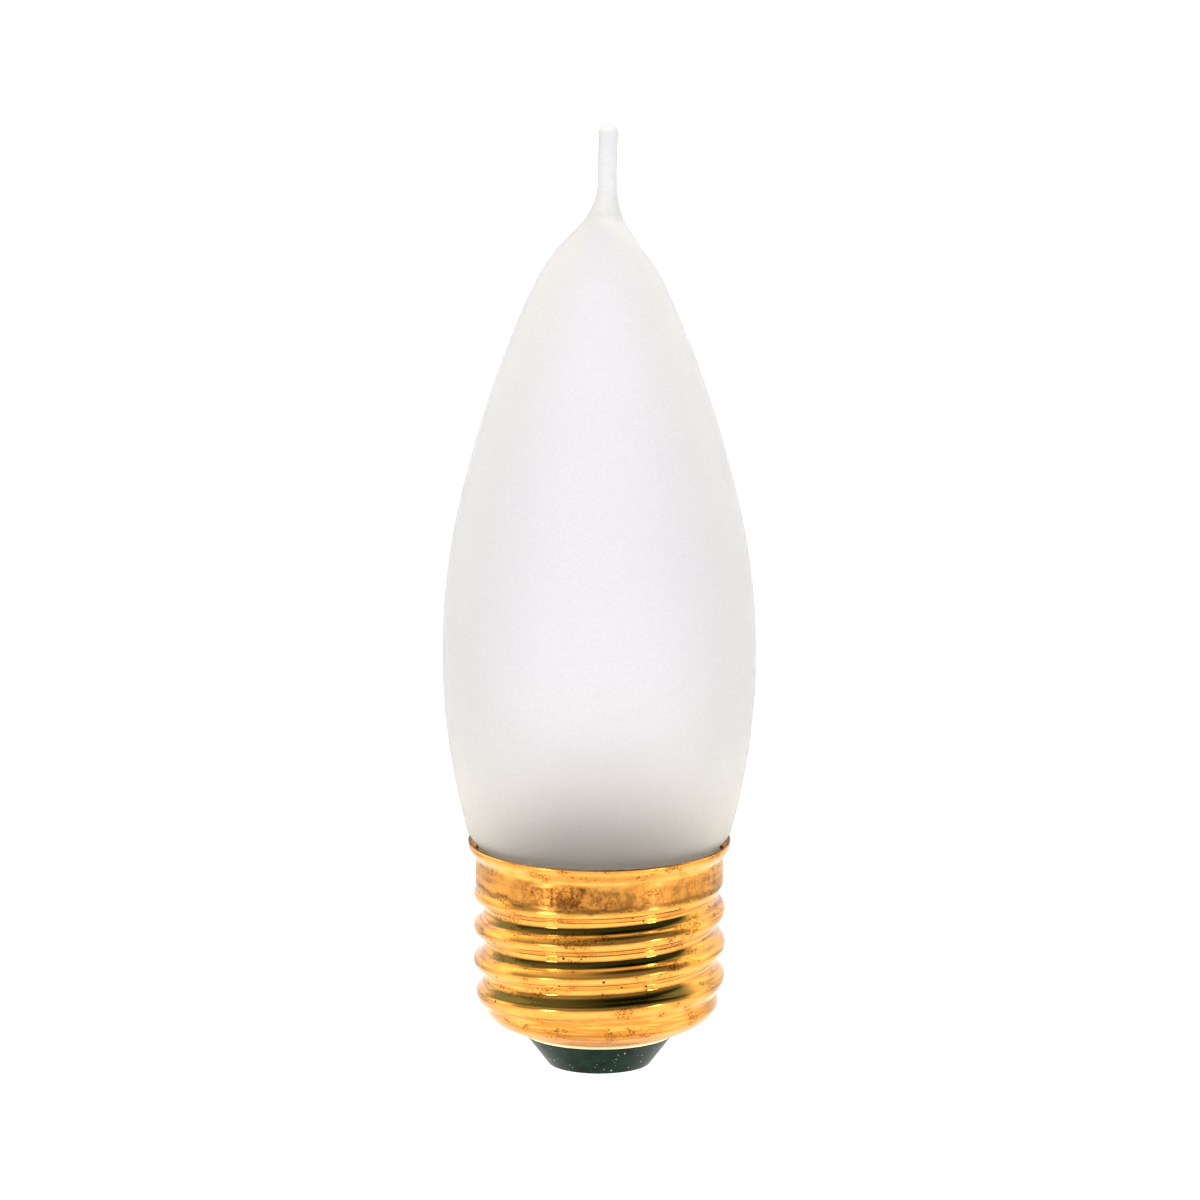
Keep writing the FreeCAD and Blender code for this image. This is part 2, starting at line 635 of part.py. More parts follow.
def make_leads():
    offset = level("lead_offset")
    bore_top = level("stem_bore_level")
    bend, small_bend = size("lead_bend"), size("lead_small_bend")
    centre = bent_wire("centre_lead_wire", size("centre_lead_radius"), [
        (-offset, bore_top),
        (-offset, level("lead_turn_level")),
        (0, level("lead_hole_level")),
        (0, size("contact_level")),
    ], [bend, bend])
    up = level("neck_radius") + size("neck_gap") / 2
    wall = level("skirt_bore_radius") - 2 * size("side_lead_radius")
    lip = level("rim_radius") - size("shell_wall") - size("side_lead_radius") - size("seat_gap")
    flare_top = level("rim_level") - size("rim_lip")
    cement_low = level("cement_low_level")
    side = bent_wire("side_lead_wire", size("side_lead_radius"), [
        (offset, bore_top),
        (offset, level("side_lead_level")),
        (up, level("side_lead_level")),
        (up, cement_low),
        (wall, cement_low + wall - up),
        (wall, flare_top - size("flare_rise") + size("lead_rise")),
        (lip, flare_top + size("side_lead_radius")),
        (lip, level("rim_level") + size("weld_bead") / 2),
    ], [bend, bend] + [small_bend] * 4)
    return centre, side


# Weld: a bead over the rim at the back, where the side lead ends

def make_side_weld():
    body = new_body("side_weld")
    face = "Levels.rim_radius + Sizes.seat_gap"
    inside = "Levels.rim_radius - Sizes.shell_wall"
    top = "Levels.rim_level + Sizes.seat_gap"
    sketch = new_sketch(body, "WeldOutline", "YZ_Plane")
    draw_outline(sketch, [
        (face, "Levels.rim_level - Sizes.weld_drop"),
        (f"{face} + Sizes.weld_bead", "Levels.rim_level - Sizes.weld_drop / 2"),
        (f"{face} + Sizes.weld_bead", "Levels.rim_level"),
        ("Levels.rim_radius", f"{top} + Sizes.weld_bead"),
        (inside, f"{top} + Sizes.weld_bead"),
        (inside, top),
        (face, top),
    ])
    bead = body.newObject("PartDesign::Revolution", "WeldBead")
    bead.Profile = sketch
    bead.ReferenceAxis = (sketch, ["V_Axis"])
    bead.setExpression("Angle", "Sizes.weld_span * 1deg")
    bead.Midplane = True
    return body


parts = [
    make_glass_bulb(),
    make_screw_shell(),
    make_base_insulator(),
    make_centre_contact(),
    make_contact_solder(),
    make_basing_cement(),
    *make_leads(),
    make_side_weld(),
]
doc.recompute()

# Every object has to be sound before anything is written

for item in doc.Objects:
    if "Invalid" in item.State or "Error" in item.State:
        raise RuntimeError(f"{item.Label} did not build: {item.State}")
for item in parts:
    if item.Shape.isNull() or not item.Shape.isValid() or len(item.Shape.Solids) != 1:
        raise RuntimeError(f"{item.Label} is not one sound solid")

os.makedirs("parts", exist_ok=True)
for item in parts:
    item.Shape.exportStep(f"parts/{item.Label}.step")
    box = item.Shape.optimalBoundingBox()
    print(f"{item.Label}: {item.Shape.Volume:.1f} mm3, z {box.ZMin:.2f} to {box.ZMax:.2f}")
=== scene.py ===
# Looks of the candle bulb: frosted glass, rolled brass screw shell, black glass insulator, soldered contact.
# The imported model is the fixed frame, in metres, +Z up along the lamp's axis and -Y towards the viewer.
import math

import bpy
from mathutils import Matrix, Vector


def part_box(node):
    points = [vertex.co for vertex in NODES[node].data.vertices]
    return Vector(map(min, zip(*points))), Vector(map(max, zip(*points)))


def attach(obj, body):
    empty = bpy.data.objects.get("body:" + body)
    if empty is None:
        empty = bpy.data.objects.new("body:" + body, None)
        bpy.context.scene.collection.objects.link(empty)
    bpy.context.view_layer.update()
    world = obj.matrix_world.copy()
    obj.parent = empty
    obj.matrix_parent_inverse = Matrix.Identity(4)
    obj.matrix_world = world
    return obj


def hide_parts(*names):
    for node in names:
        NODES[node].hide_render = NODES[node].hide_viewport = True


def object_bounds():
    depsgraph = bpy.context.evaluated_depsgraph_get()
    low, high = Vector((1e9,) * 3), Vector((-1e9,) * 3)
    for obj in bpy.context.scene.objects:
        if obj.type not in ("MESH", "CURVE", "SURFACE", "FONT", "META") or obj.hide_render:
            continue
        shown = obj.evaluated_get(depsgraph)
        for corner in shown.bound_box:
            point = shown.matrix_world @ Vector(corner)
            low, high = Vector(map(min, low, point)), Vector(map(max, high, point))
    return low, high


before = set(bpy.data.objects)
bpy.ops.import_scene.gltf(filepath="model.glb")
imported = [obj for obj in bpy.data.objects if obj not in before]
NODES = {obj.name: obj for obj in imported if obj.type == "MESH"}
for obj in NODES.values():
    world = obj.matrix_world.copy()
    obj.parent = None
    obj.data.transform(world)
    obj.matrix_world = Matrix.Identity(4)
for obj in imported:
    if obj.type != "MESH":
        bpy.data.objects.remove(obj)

CAD_BOX = [list(corner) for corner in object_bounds()]

bl_info = {
    "name": "Candle Bulb Looks",
    "version": (1, 0, 0),
    "blender": (4, 5, 0),
    "location": "View3D > Sidebar > Candle Bulb",
    "description": "Builds the glass, the rolled shell, the fittings and the studio of a candle bulb",
    "category": "Object",
}

MM = 0.001
GLASS_LOW, GLASS_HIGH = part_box("glass_bulb")
SHELL_LOW, SHELL_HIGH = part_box("screw_shell")


# Colours and angles

def degrees(*angles):
    """Angles in degrees as radians."""
    return tuple(math.radians(angle) for angle in angles)


def linear(code):
    """An sRGB hex value as a linear colour."""
    channels = [int(code[i:i + 2], 16) / 255 for i in (1, 3, 5)]
    return tuple(c / 12.92 if c <= 0.04045 else ((c + 0.055) / 1.055) ** 2.4 for c in channels) + (1.0,)


def toned(colour, shares=(1.0, 1.0, 1.0)):
    """A linear colour with each channel scaled."""
    return tuple(c * share for c, share in zip(colour, shares)) + (1.0,)


def lit(code, power):
    """The linear colour of a surface that is lit, and so may be brighter than white."""
    return toned(linear(code)[:3], (power, power, power))


# Settings that a user would change

class GlassSettings(bpy.types.PropertyGroup):
    wall: bpy.props.FloatProperty(
        name="Wall", description="Thickness of the blown glass", default=0.6 * MM, min=0.1 * MM,
        unit="LENGTH", precision=5)
    around: bpy.props.IntProperty(
        name="Around", description="Faces around the glass", default=192, min=24)
    colour: bpy.props.FloatVectorProperty(
        name="Colour", description="Tint of the frosted glass", subtype="COLOR", size=3,
        default=linear("#FEFDFE")[:3])
    frost: bpy.props.FloatProperty(
        name="Frost", description="Roughness of the etched face", default=0.55, min=0.0, max=1.0,
        subtype="FACTOR")


class ShellSettings(bpy.types.PropertyGroup):
    wall: bpy.props.FloatProperty(
        name="Sheet", description="Thickness of the rolled brass sheet", default=0.25 * MM, min=0.05 * MM,
        unit="LENGTH", precision=5)
    pitch: bpy.props.FloatProperty(
        name="Pitch", description="Rise of the thread in one turn", default=3.629 * MM, min=1 * MM,
        unit="LENGTH", precision=5)
    depth: bpy.props.FloatProperty(
        name="Depth", description="Depth of the thread from crest to root", default=1.05 * MM, min=0.0,
        unit="LENGTH", precision=5)
    around: bpy.props.IntProperty(
        name="Around", description="Faces around the shell", default=288, min=36)
    colour: bpy.props.FloatVectorProperty(
        name="Colour", description="Reflection colour of the brass", subtype="COLOR", size=3,
        default=linear("#F3AB54")[:3])


class StudioSettings(bpy.types.PropertyGroup):
    azimuth: bpy.props.FloatProperty(
        name="Azimuth", description="Direction of the camera around the lamp", default=0.0, subtype="ANGLE")
    elevation: bpy.props.FloatProperty(
        name="Elevation", description="Angle of the camera above level", default=math.radians(13.4),
        subtype="ANGLE")
    distance: bpy.props.FloatProperty(
        name="Distance", description="Camera to the lamp's axis", default=2.784, min=0.1, unit="LENGTH")
    lens: bpy.props.FloatProperty(
        name="Lens", description="Focal length of the camera", default=800.0, min=10.0, unit="CAMERA")
    floor_drop: bpy.props.FloatProperty(
        name="Floor drop", description="How far the table lies under the lamp", default=0.12, min=0.0,
        unit="LENGTH")


# Small helpers for nodes and meshes

def add_node(tree, kind, inputs=None, **settings):
    """Adds a node. An input's value is a plain value, or a socket that is linked to it."""
    node = tree.nodes.new(kind)
    for name, value in settings.items():
        setattr(node, name, value)
    for name, value in (inputs or {}).items():
        if isinstance(value, bpy.types.NodeSocket):
            tree.links.new(value, node.inputs[name])
        else:
            node.inputs[name].default_value = value
    return node


def blended(tree, value, span, first, last):
    """A colour between two, as a value goes through its span."""
    share = add_node(tree, "ShaderNodeMapRange", {"Value": value, "From Min": span[0], "From Max": span[1]})
    mix = add_node(tree, "ShaderNodeMix", {"Factor": share.outputs[0], "A": first, "B": last},
                   data_type="RGBA")
    return mix.outputs["Result"]


def masked(tree, *ramps, strength=None):
    """The product of a strength, if any, and of soft ramps. Each ramp is a value and a span, from where it
    counts 0 to where it counts 1."""
    share = strength
    for value, (zero, one) in ramps:
        ramp = add_node(tree, "ShaderNodeMapRange", {"Value": value, "From Min": zero, "From Max": one},
                        interpolation_type="SMOOTHSTEP").outputs[0]
        if share is None:
            share = ramp
        else:
            share = add_node(tree, "ShaderNodeMath", {0: ramp, 1: share}, operation="MULTIPLY").outputs[0]
    return share


def laid_over(tree, under, over, *ramps, strength=None):
    """One colour laid over another where all ramps are up."""
    share = masked(tree, *ramps, strength=strength)
    return add_node(tree, "ShaderNodeMix", {"Factor": share, "A": under, "B": over},
                    data_type="RGBA").outputs["Result"]


def new_material(name):
    """An empty material and its node tree."""
    material = bpy.data.materials.new(name)
    material.use_nodes = True
    material.node_tree.nodes.clear()
    return material, material.node_tree


def add_mesh(name, verts, faces, materials):
    """A smooth mesh as an object of the scene."""
    mesh = bpy.data.meshes.new(name)
    mesh.from_pydata(verts, [], faces)
    mesh.update()
    mesh.shade_smooth()
    for material in materials:
        mesh.materials.append(material)
    piece = bpy.data.objects.new(name, mesh)
    bpy.context.scene.collection.objects.link(piece)
    return piece


def skin(rings):
    """Quads between rings of equal count, listed from the first ring to the last."""
    count = len(rings[0])
    verts = [point for ring in rings for point in ring]
    faces = []
    for i in range(len(rings) - 1):
        for j in range(count):
            k = (j + 1) % count
            faces.append((i * count + j, i * count + k, (i + 1) * count + k, (i + 1) * count + j))
    return verts, faces


def closed_skin(rings, low, high):
    """A skin whose first ring closes on a low point and whose last ring closes on a high one."""
    verts, faces = skin(rings)
    count = len(rings[0])
    last = len(verts) - count
    verts += [low, high]
    for j in range(count):
        k = (j + 1) % count
        faces.append((k, j, len(verts) - 2))
        faces.append((last + j, last + k, len(verts) - 1))
    return verts, faces


def arc(centre, radius, first, last, step):
    """Points of an arc in the outline's half plane, from the first angle to the last, both kept."""
    count = max(2, math.ceil(abs(last - first) * radius / step))
    return [(centre[0] + radius * math.cos(first + (last - first) * i / count),
             centre[1] + radius * math.sin(first + (last - first) * i / count)) for i in range(count + 1)]


# Frosted glass: the same tangent arcs as the solid's outline, as a hollow wall with the drawn tail

BULB_RADIUS = (GLASS_HIGH.x - GLASS_LOW.x) / 2
RIM_LEVEL = SHELL_HIGH.z
RIM_RADIUS = (SHELL_HIGH.x - SHELL_LOW.x) / 2
BELLY_RISE = 20.2 * MM
BELLY_ARC = 72 * MM
BELLY_TURN = math.radians(12.5)
FLANK_ARC = 123 * MM
SHOULDER_RADIUS = 7.235 * MM
SHOULDER_ARC = 21.5 * MM
CONE_RADIUS = 4.49 * MM
TAIL_RADIUS = 1.0 * MM
TAIL_FLARE = 8 * MM
TAIL_OFFSET = 0.82 * MM
TAIL_ROOT_SHIFT = 0.3 * MM
TAIL_STAND = 0.3 * MM
TAIL_BEND = 8 * MM
TAIL_TURN = math.radians(30)
TAIL_END_RUN = 0.6 * MM
TAIL_AZIMUTH = math.radians(84)
TAIL_BALL = 1.06 * MM
RIM_CLEARANCE = 0.32 * MM
HEEL_TURN = math.radians(50)
HEEL_BEND = 3 * MM
SLOPE_RUN = 1.1 * MM
NECK_RADIUS = 11.2 * MM
NECK_BEND = 2.5 * MM
NECK_RUN = 5.1 * MM
SEAL_ROUND = 1.6 * MM
BORE_RADIUS = 3.6 * MM
BORE_DEPTH = 4.3 * MM
EXHAUST_RADIUS = 1.9 * MM
EXHAUST_CUT = math.radians(-75)
FLARE_STEPS = 14
BEND_STEPS = 14
BALL_STEPS = 8
HOLLOW_ENDS = (0.85, 0.7, 0.55, 0.4)
HOLLOW_TIP = 0.4

# Levels over which the glass changes: each span runs from where a change starts to where it is full
CLEAR_SPAN = (RIM_LEVEL, RIM_LEVEL + 14 * MM)
STRAW_SPAN = (RIM_LEVEL + 38 * MM, RIM_LEVEL + 64 * MM)
BELLY_LOW = (RIM_LEVEL + 5 * MM, RIM_LEVEL + 14 * MM)
BELLY_HIGH = (RIM_LEVEL + 68 * MM, RIM_LEVEL + 28 * MM)
TAIL_SPAN = (CAD_BOX[1][2] - 11 * MM, CAD_BOX[1][2] - 7 * MM)
WARM_TONE = (1.0, 0.972, 0.905)
STRAW_TONE = (0.983, 0.977, 0.967)
GLASS_SHADE_DEPTH = 0.075
GLASS_SHADE_ON_TAIL = 2.6
GRAIN_SPAN = (0.42, 0.62)
GRAIN_SHARE = (0.92, 1.0)


def foot_outline(wall, seal, step):
    """Radius and level from the axis to the neck: the exhaust tube's end, the bore and the sealed foot."""
    bore_top = seal + BORE_DEPTH + wall
    points = []
    if not wall:
        end = (0, GLASS_LOW.z + EXHAUST_RADIUS)
        points += arc(end, EXHAUST_RADIUS, EXHAUST_CUT, 0, step)
        points.append((EXHAUST_RADIUS, bore_top))
    points.append((BORE_RADIUS + wall, bore_top))
    points += arc((BORE_RADIUS + SEAL_ROUND, seal + SEAL_ROUND), SEAL_ROUND - wall,
                  math.pi, math.pi * 1.5, step)
    return points


def glass_outline(wall, sheet, step=0.5 * MM):
    """Radius and level along the glass, a wall's depth inside its outer face, from the axis to the cone."""
    slope = (math.cos(HEEL_TURN), math.sin(HEEL_TURN))
    edge = RIM_RADIUS - sheet
    line = (edge - RIM_CLEARANCE * slope[0], RIM_LEVEL + RIM_CLEARANCE * slope[1])
    bend_end = NECK_RADIUS + NECK_BEND * (1 - slope[0])
    bend_level = line[1] - (line[0] - bend_end) / math.tan(HEEL_TURN)
    neck_centre = (NECK_RADIUS + NECK_BEND, bend_level - NECK_BEND * slope[1])
    heel_centre = (bend_end + SLOPE_RUN * slope[1] - HEEL_BEND * slope[0],
                   bend_level + SLOPE_RUN * slope[0] + HEEL_BEND * slope[1])
    belly_level = RIM_LEVEL + BELLY_RISE
    reach = BULB_RADIUS - heel_centre[0]
    drop = belly_level - heel_centre[1]
    low_arc = (reach ** 2 + drop ** 2 - HEEL_BEND ** 2) / (2 * (reach - HEEL_BEND))
    low_turn = math.asin(drop / (low_arc - HEEL_BEND))
    flank_radius = BULB_RADIUS - BELLY_ARC * (1 - math.cos(BELLY_TURN))
    flank_turn = math.acos(math.cos(BELLY_TURN) - (flank_radius - SHOULDER_RADIUS) / FLANK_ARC)
    cone_turn = math.acos(math.cos(flank_turn) - (SHOULDER_RADIUS - CONE_RADIUS) / SHOULDER_ARC)
    belly = (BULB_RADIUS - BELLY_ARC, belly_level)
    flank = (belly[0] + (BELLY_ARC - FLANK_ARC) * math.cos(BELLY_TURN),
             belly[1] + (BELLY_ARC - FLANK_ARC) * math.sin(BELLY_TURN))
    shoulder = (flank[0] + (FLANK_ARC - SHOULDER_ARC) * math.cos(flank_turn),
                flank[1] + (FLANK_ARC - SHOULDER_ARC) * math.sin(flank_turn))
    foot_level = neck_centre[1] - NECK_RUN
    points = foot_outline(wall, foot_level, step)
    points += arc((NECK_RADIUS - SEAL_ROUND, foot_level + SEAL_ROUND), SEAL_ROUND - wall,
                  -math.pi / 2, 0, step)
    points += arc(neck_centre, NECK_BEND + wall, math.pi, math.pi - HEEL_TURN, step)
    points += arc(heel_centre, HEEL_BEND - wall, -HEEL_TURN, -low_turn, step)
    points += arc((BULB_RADIUS - low_arc, belly_level), low_arc - wall, -low_turn, 0, step)[1:]
    points += arc(belly, BELLY_ARC - wall, 0, BELLY_TURN, step)[1:]
    points += arc(flank, FLANK_ARC - wall, BELLY_TURN, flank_turn, step)[1:]
    points += arc(shoulder, SHOULDER_ARC - wall, flank_turn, cone_turn, step)[1:]
    return points, cone_turn


def ring_at(centre, across, beside, radius, count):
    """Points around a centre, in the plane of two directions."""
    return [centre + (across * math.cos(a) + beside * math.sin(a)) * radius
            for a in (2 * math.pi * j / count for j in range(count))]


def tail_rings(cone_level, cone_turn, count, cone_radius):
    """Rings of the flare, the bent tail and its ball, each square to the tail's own line."""
    x, y, z = Vector((1, 0, 0)), Vector((0, 1, 0)), Vector((0, 0, 1))
    rings = []
    flare_radius = TAIL_RADIUS + TAIL_FLARE * (1 - math.cos(cone_turn))
    top = cone_level + (cone_radius - flare_radius) / math.tan(cone_turn) + TAIL_FLARE * math.sin(cone_turn)
    for i in range(FLARE_STEPS + 1):
        left = 1 - i / FLARE_STEPS
        turn = cone_turn * left
        shift = TAIL_OFFSET - (TAIL_OFFSET - TAIL_ROOT_SHIFT) * left ** 2
        centre = Vector((shift, 0, top - TAIL_FLARE * math.sin(turn)))
        rings.append(ring_at(centre, x, y, TAIL_RADIUS + TAIL_FLARE * (1 - math.cos(turn)), count))
    lean = x * math.cos(TAIL_AZIMUTH) + y * math.sin(TAIL_AZIMUTH)
    base = Vector((TAIL_OFFSET, 0, top + TAIL_STAND))
    for i in range(BEND_STEPS + 1):
        turn = TAIL_TURN * i / BEND_STEPS
        centre = base + lean * TAIL_BEND * (1 - math.cos(turn)) + z * TAIL_BEND * math.sin(turn)
        along = z * math.cos(turn) + lean * math.sin(turn)
        rings.append(tilted_ring(centre, along, TAIL_RADIUS, count))
    end = centre + along * TAIL_END_RUN
    ball_start = math.acos(TAIL_RADIUS / TAIL_BALL)
    for i in range(BALL_STEPS):
        rise = -ball_start + (math.pi / 2 + ball_start) * i / BALL_STEPS
        rings.append(tilted_ring(end + along * TAIL_BALL * math.sin(rise), along,
                                 TAIL_BALL * math.cos(rise), count))
    return rings, end + along * TAIL_BALL


def tilted_ring(centre, along, radius, count):
    """A ring square to a direction near +Z, its first point towards +X like the level rings."""
    across = Vector((1, 0, 0)) - along * along.x
    across.normalize()
    return ring_at(centre, across, along.cross(across), radius, count)


def frosted_glass_material(settings):
    """Soda-lime glass, blown and acid etched. The etched face scatters what passes, so the bulb glows evenly,
    shows only a dim blur of the cap's inside and has no sharp highlight, but a fine sparkle."""
    material, tree = new_material("frosted_soda_glass_etched")
    coords = add_node(tree, "ShaderNodeTexCoord").outputs["Object"]
    # Etched grains are about 0.1 mm, drawn at 0.25 mm so that they show.
    grain = add_node(tree, "ShaderNodeTexNoise", {"Vector": coords, "Scale": 1 / (0.25 * MM),
                                                  "Detail": 1.0}).outputs["Fac"]
    level = add_node(tree, "ShaderNodeSeparateXYZ", {0: coords}).outputs["Z"]
    # Painted light: over the cap the glass takes a warm tint, the colour of the light from the brass and the
    # cement inside.
    body = laid_over(tree, toned(settings.colour, WARM_TONE), toned(settings.colour), (level, CLEAR_SPAN))
    # Towards the tip the wall is thicker and yellows what passes.
    body = laid_over(tree, body, toned(settings.colour, STRAW_TONE), (level, STRAW_SPAN))
    # Painted shade: the glass is darker round the belly and darkest on the tail.
    on_belly = masked(tree, (level, BELLY_LOW), (level, BELLY_HIGH))
    etched = add_node(tree, "ShaderNodeMath", {0: masked(tree, (level, TAIL_SPAN)), 1: GLASS_SHADE_ON_TAIL,
                                               2: on_belly}, operation="MULTIPLY_ADD").outputs[0]
    # Painted shade: the glass colour is scaled down by this share, most on the tail.
    depth = add_node(tree, "ShaderNodeMath", {0: etched, 1: -GLASS_SHADE_DEPTH, 2: 1.0},
                     operation="MULTIPLY_ADD").outputs[0]
    sparkle = add_node(tree, "ShaderNodeMapRange", {
        "Value": grain, "From Min": GRAIN_SPAN[0], "From Max": GRAIN_SPAN[1], "To Min": GRAIN_SHARE[0],
        "To Max": GRAIN_SHARE[1]}).outputs[0]
    passed = add_node(tree, "ShaderNodeMath", {0: sparkle, 1: depth}, operation="MULTIPLY").outputs[0]
    tint = add_node(tree, "ShaderNodeMix", {"Factor": 1.0, "A": body, "B": passed}, data_type="RGBA",
                    blend_type="MULTIPLY").outputs["Result"]
    bump = add_node(tree, "ShaderNodeBump", {"Height": grain, "Strength": 0.25, "Distance": 0.02 * MM})
    shader = add_node(tree, "ShaderNodeBsdfPrincipled", {
        "Base Color": tint, "Roughness": settings.frost, "IOR": 1.5, "Transmission Weight": 1.0,
        "Normal": bump.outputs[0]})
    add_node(tree, "ShaderNodeOutputMaterial", {"Surface": shader.outputs[0]})
    return material


class CANDLE_OT_frosted_glass(bpy.types.Operator):
    """Build the hollow frosted glass with its drawn tail"""
    bl_idname = "candle.frosted_glass"
    bl_label = "Frosted glass"

    def execute(self, context):
        settings = context.scene.candle_glass
        sheet = context.scene.candle_shell.wall
        count = settings.around
        x, y = Vector((1, 0, 0)), Vector((0, 1, 0))
        outer, cone_turn = glass_outline(0.0, sheet)
        inner, inner_turn = glass_outline(settings.wall, sheet)
        tail, tip = tail_rings(outer[-1][1], cone_turn, count, CONE_RADIUS)
        rings = [ring_at(Vector((0, 0, z)), x, y, r, count) for r, z in outer] + tail
        verts, faces = closed_skin(rings, Vector((0, 0, GLASS_LOW.z)), tip)
        # The hollow narrows into the flare and closes under the solid tail.
        r, z = inner[-1]
        inner += [(r * share, z + r * (1 - share) / math.tan(inner_turn)) for share in HOLLOW_ENDS]
        hollow = [ring_at(Vector((0, 0, z)), x, y, r, count) for r, z in inner]
        r, z = inner[-1]
        more, walls = closed_skin(hollow, Vector((0, 0, inner[0][1])), Vector((0, 0, z + r * HOLLOW_TIP)))
        start = len(verts)
        verts += more
        faces += [tuple(start + k for k in reversed(face)) for face in walls]
        piece = add_mesh("frosted_glass", verts, faces, [frosted_glass_material(settings)])
        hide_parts("glass_bulb")
        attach(piece, "root")
        return {"FINISHED"}


# Rolled brass shell: flared rim, plain skirt, knuckle thread and bowl, drawn finer than the solid's facets

THREAD_RADIUS = 13.15 * MM
SKIRT_RADIUS = 12.95 * MM
RIM_LIP = 0.4 * MM
FLARE_RISE = 1.4 * MM
SKIRT_HEIGHT = 4.2 * MM
THREAD_HEIGHT = 11.9 * MM
CREST_RISE = 1.46 * MM
TOP_FADE = 2.0 * MM
END_DROP = 3.7 * MM
END_FADE = 7.0 * MM
BOWL_BEND = 3.6 * MM
BOWL_TURN = math.radians(65)
HOLE_RADIUS = 7.85 * MM
LIP_BEND = 0.8 * MM
LIP_TURN = math.radians(38)
LIP_STEP = 0.06 * MM
THREAD_TOP = RIM_LEVEL - SKIRT_HEIGHT
BOWL_LEVEL = THREAD_TOP - THREAD_HEIGHT
STATION_STEP = 0.13 * MM
INNER_EVERY = 3

# Where wear, tarnish, painted shade, painted dark reflections and a painted highlight lie on the shell: each
# span runs from where a mark starts to where it is full. Angles are measured around the shell, with the front
# at -90 degrees and the left end at -180.
SIDE_SHADE_SPAN = (-9.5 * MM, -4.5 * MM)
RAGGED = 3.0 * MM
RUB_LOW = (21.7 * MM, 22.4 * MM)
RUB_HIGH = (25.0 * MM, 24.1 * MM)
RUB_LEFT = degrees(-142, -114)
RUB_RIGHT = degrees(-60, -105)
BORDER_LOW = (21.7 * MM, 22.0 * MM)
BORDER_HIGH = (22.6 * MM, 22.2 * MM)
BOWL_SPAN = (9.2 * MM, 8.2 * MM)
SATIN_SPAN = (7.5 * MM, 5.2 * MM)
LIP_SPAN = (5.0 * MM, 4.6 * MM)
GROOVE_LOWEST = (12.2 * MM, 11.2 * MM)
GROOVE_FACE = (-0.02, 0.16)
GROOVE_SUNK = (THREAD_RADIUS - 0.6 * MM, THREAD_RADIUS - 0.78 * MM)
GROOVE_FLOOR = (8.4 * MM, 9.0 * MM)
GROOVE_LEFT = degrees(-164, -146)
GROOVE_RIGHT = degrees(-30, -48)
LOWEST_LEAN = -0.3
LOWEST_SINK = -0.66 * MM

# Values of the noises and the pits' distances over which each mark comes in
TARNISH_PATCHES = (0.34, 0.56)
SIDE_SHADE_STREAKS = (0.36, 0.64)
RUB_STROKES = (0.41, 0.58)
ORANGE_STREAKS = (0.56, 0.44)
FLECK_PATCHES = (0.56, 0.4)
FLECK_SPAN = (0.49, 0.56)
PIT_SPAN = (0.09, 0.05)
STREAK_SPAN = (0.3, 0.7)

# How strongly each mark shows, and how much it adds to the roughness
TARNISH_TONE = (0.84, 0.7, 0.5)
SIDE_SHADE_TONE = (0.45, 0.5, 0.75)
RUB_EVERYWHERE = 0.28
RUB_BUT_LEFT = 0.3
RUB_MIDDLE = 0.35
BORDER_SHARE = 0.5
BOWL_SHARE = 0.6
GROOVE_DARK_SHARE = 0.95
FLECK_SHARE = 0.58
STREAK_ROUGH = (0.05, 0.15)
SCUFF_DEPTH = 0.8 * MM
SCUFF_ROUGH = 0.12
RUB_ROUGH = 0.14
SATIN_ROUGH = 0.34


def ease(share):
    """A share eased in and out between 0 and 1."""
    share = min(max(share, 0.0), 1.0)
    return share * share * (3 - 2 * share)


def knuckle(offset, pitch, depth):
    """Height of the thread over its mean, from two equal tangent arcs a pitch."""
    radius = ((pitch / 2) ** 2 + depth ** 2) / (4 * depth)
    away = abs((offset / pitch + 0.5) % 1.0 - 0.5) * pitch
    if away <= pitch / 4:
        return math.sqrt(radius ** 2 - away ** 2) - radius + depth / 2
    return radius - depth / 2 - math.sqrt(radius ** 2 - (pitch / 2 - away) ** 2)


def spread(first, last, step):
    """Even values from the first one up to the last one, which is left out."""
    count = max(2, round(abs(last - first) / step))
    return [first + (last - first) * i / count for i in range(count)]


def shell_stations(depth, step):
    """Radius, level and outward direction along the shell without its thread."""
    mid = THREAD_RADIUS - depth / 2
    flare_top = RIM_LEVEL - RIM_LIP
    flare_low = flare_top - FLARE_RISE
    stations = []
    for z in spread(RIM_LEVEL, BOWL_LEVEL, step):
        flare = ease((z - flare_low) / FLARE_RISE)
        rolled = ease((THREAD_TOP - z) / TOP_FADE)
        radius = SKIRT_RADIUS + (RIM_RADIUS - SKIRT_RADIUS) * flare + (mid - SKIRT_RADIUS) * rolled
        stations.append((radius, z, (1.0, 0.0)))
    for angle in spread(0, BOWL_TURN, step / BOWL_BEND):
        stations.append((mid - BOWL_BEND * (1 - math.cos(angle)), BOWL_LEVEL - BOWL_BEND * math.sin(angle),
                         (math.cos(angle), -math.sin(angle))))
    start = mid - BOWL_BEND * (1 - math.cos(BOWL_TURN))
    level = BOWL_LEVEL - BOWL_BEND * math.sin(BOWL_TURN)
    lip_radius = HOLE_RADIUS + LIP_BEND * (math.cos(LIP_TURN) - math.cos(BOWL_TURN))
    lip_level = level - (start - lip_radius) / math.tan(BOWL_TURN)
    for radius in spread(start, lip_radius, step):
        stations.append((radius, level - (start - radius) / math.tan(BOWL_TURN),
                         (math.cos(BOWL_TURN), -math.sin(BOWL_TURN))))
    for angle in spread(BOWL_TURN, LIP_TURN, LIP_STEP / LIP_BEND) + [LIP_TURN]:
        stations.append((HOLE_RADIUS + LIP_BEND * (math.cos(LIP_TURN) - math.cos(angle)),
                         lip_level - LIP_BEND * (math.sin(BOWL_TURN) - math.sin(angle)),
                         (math.cos(angle), -math.sin(angle))))
    return stations


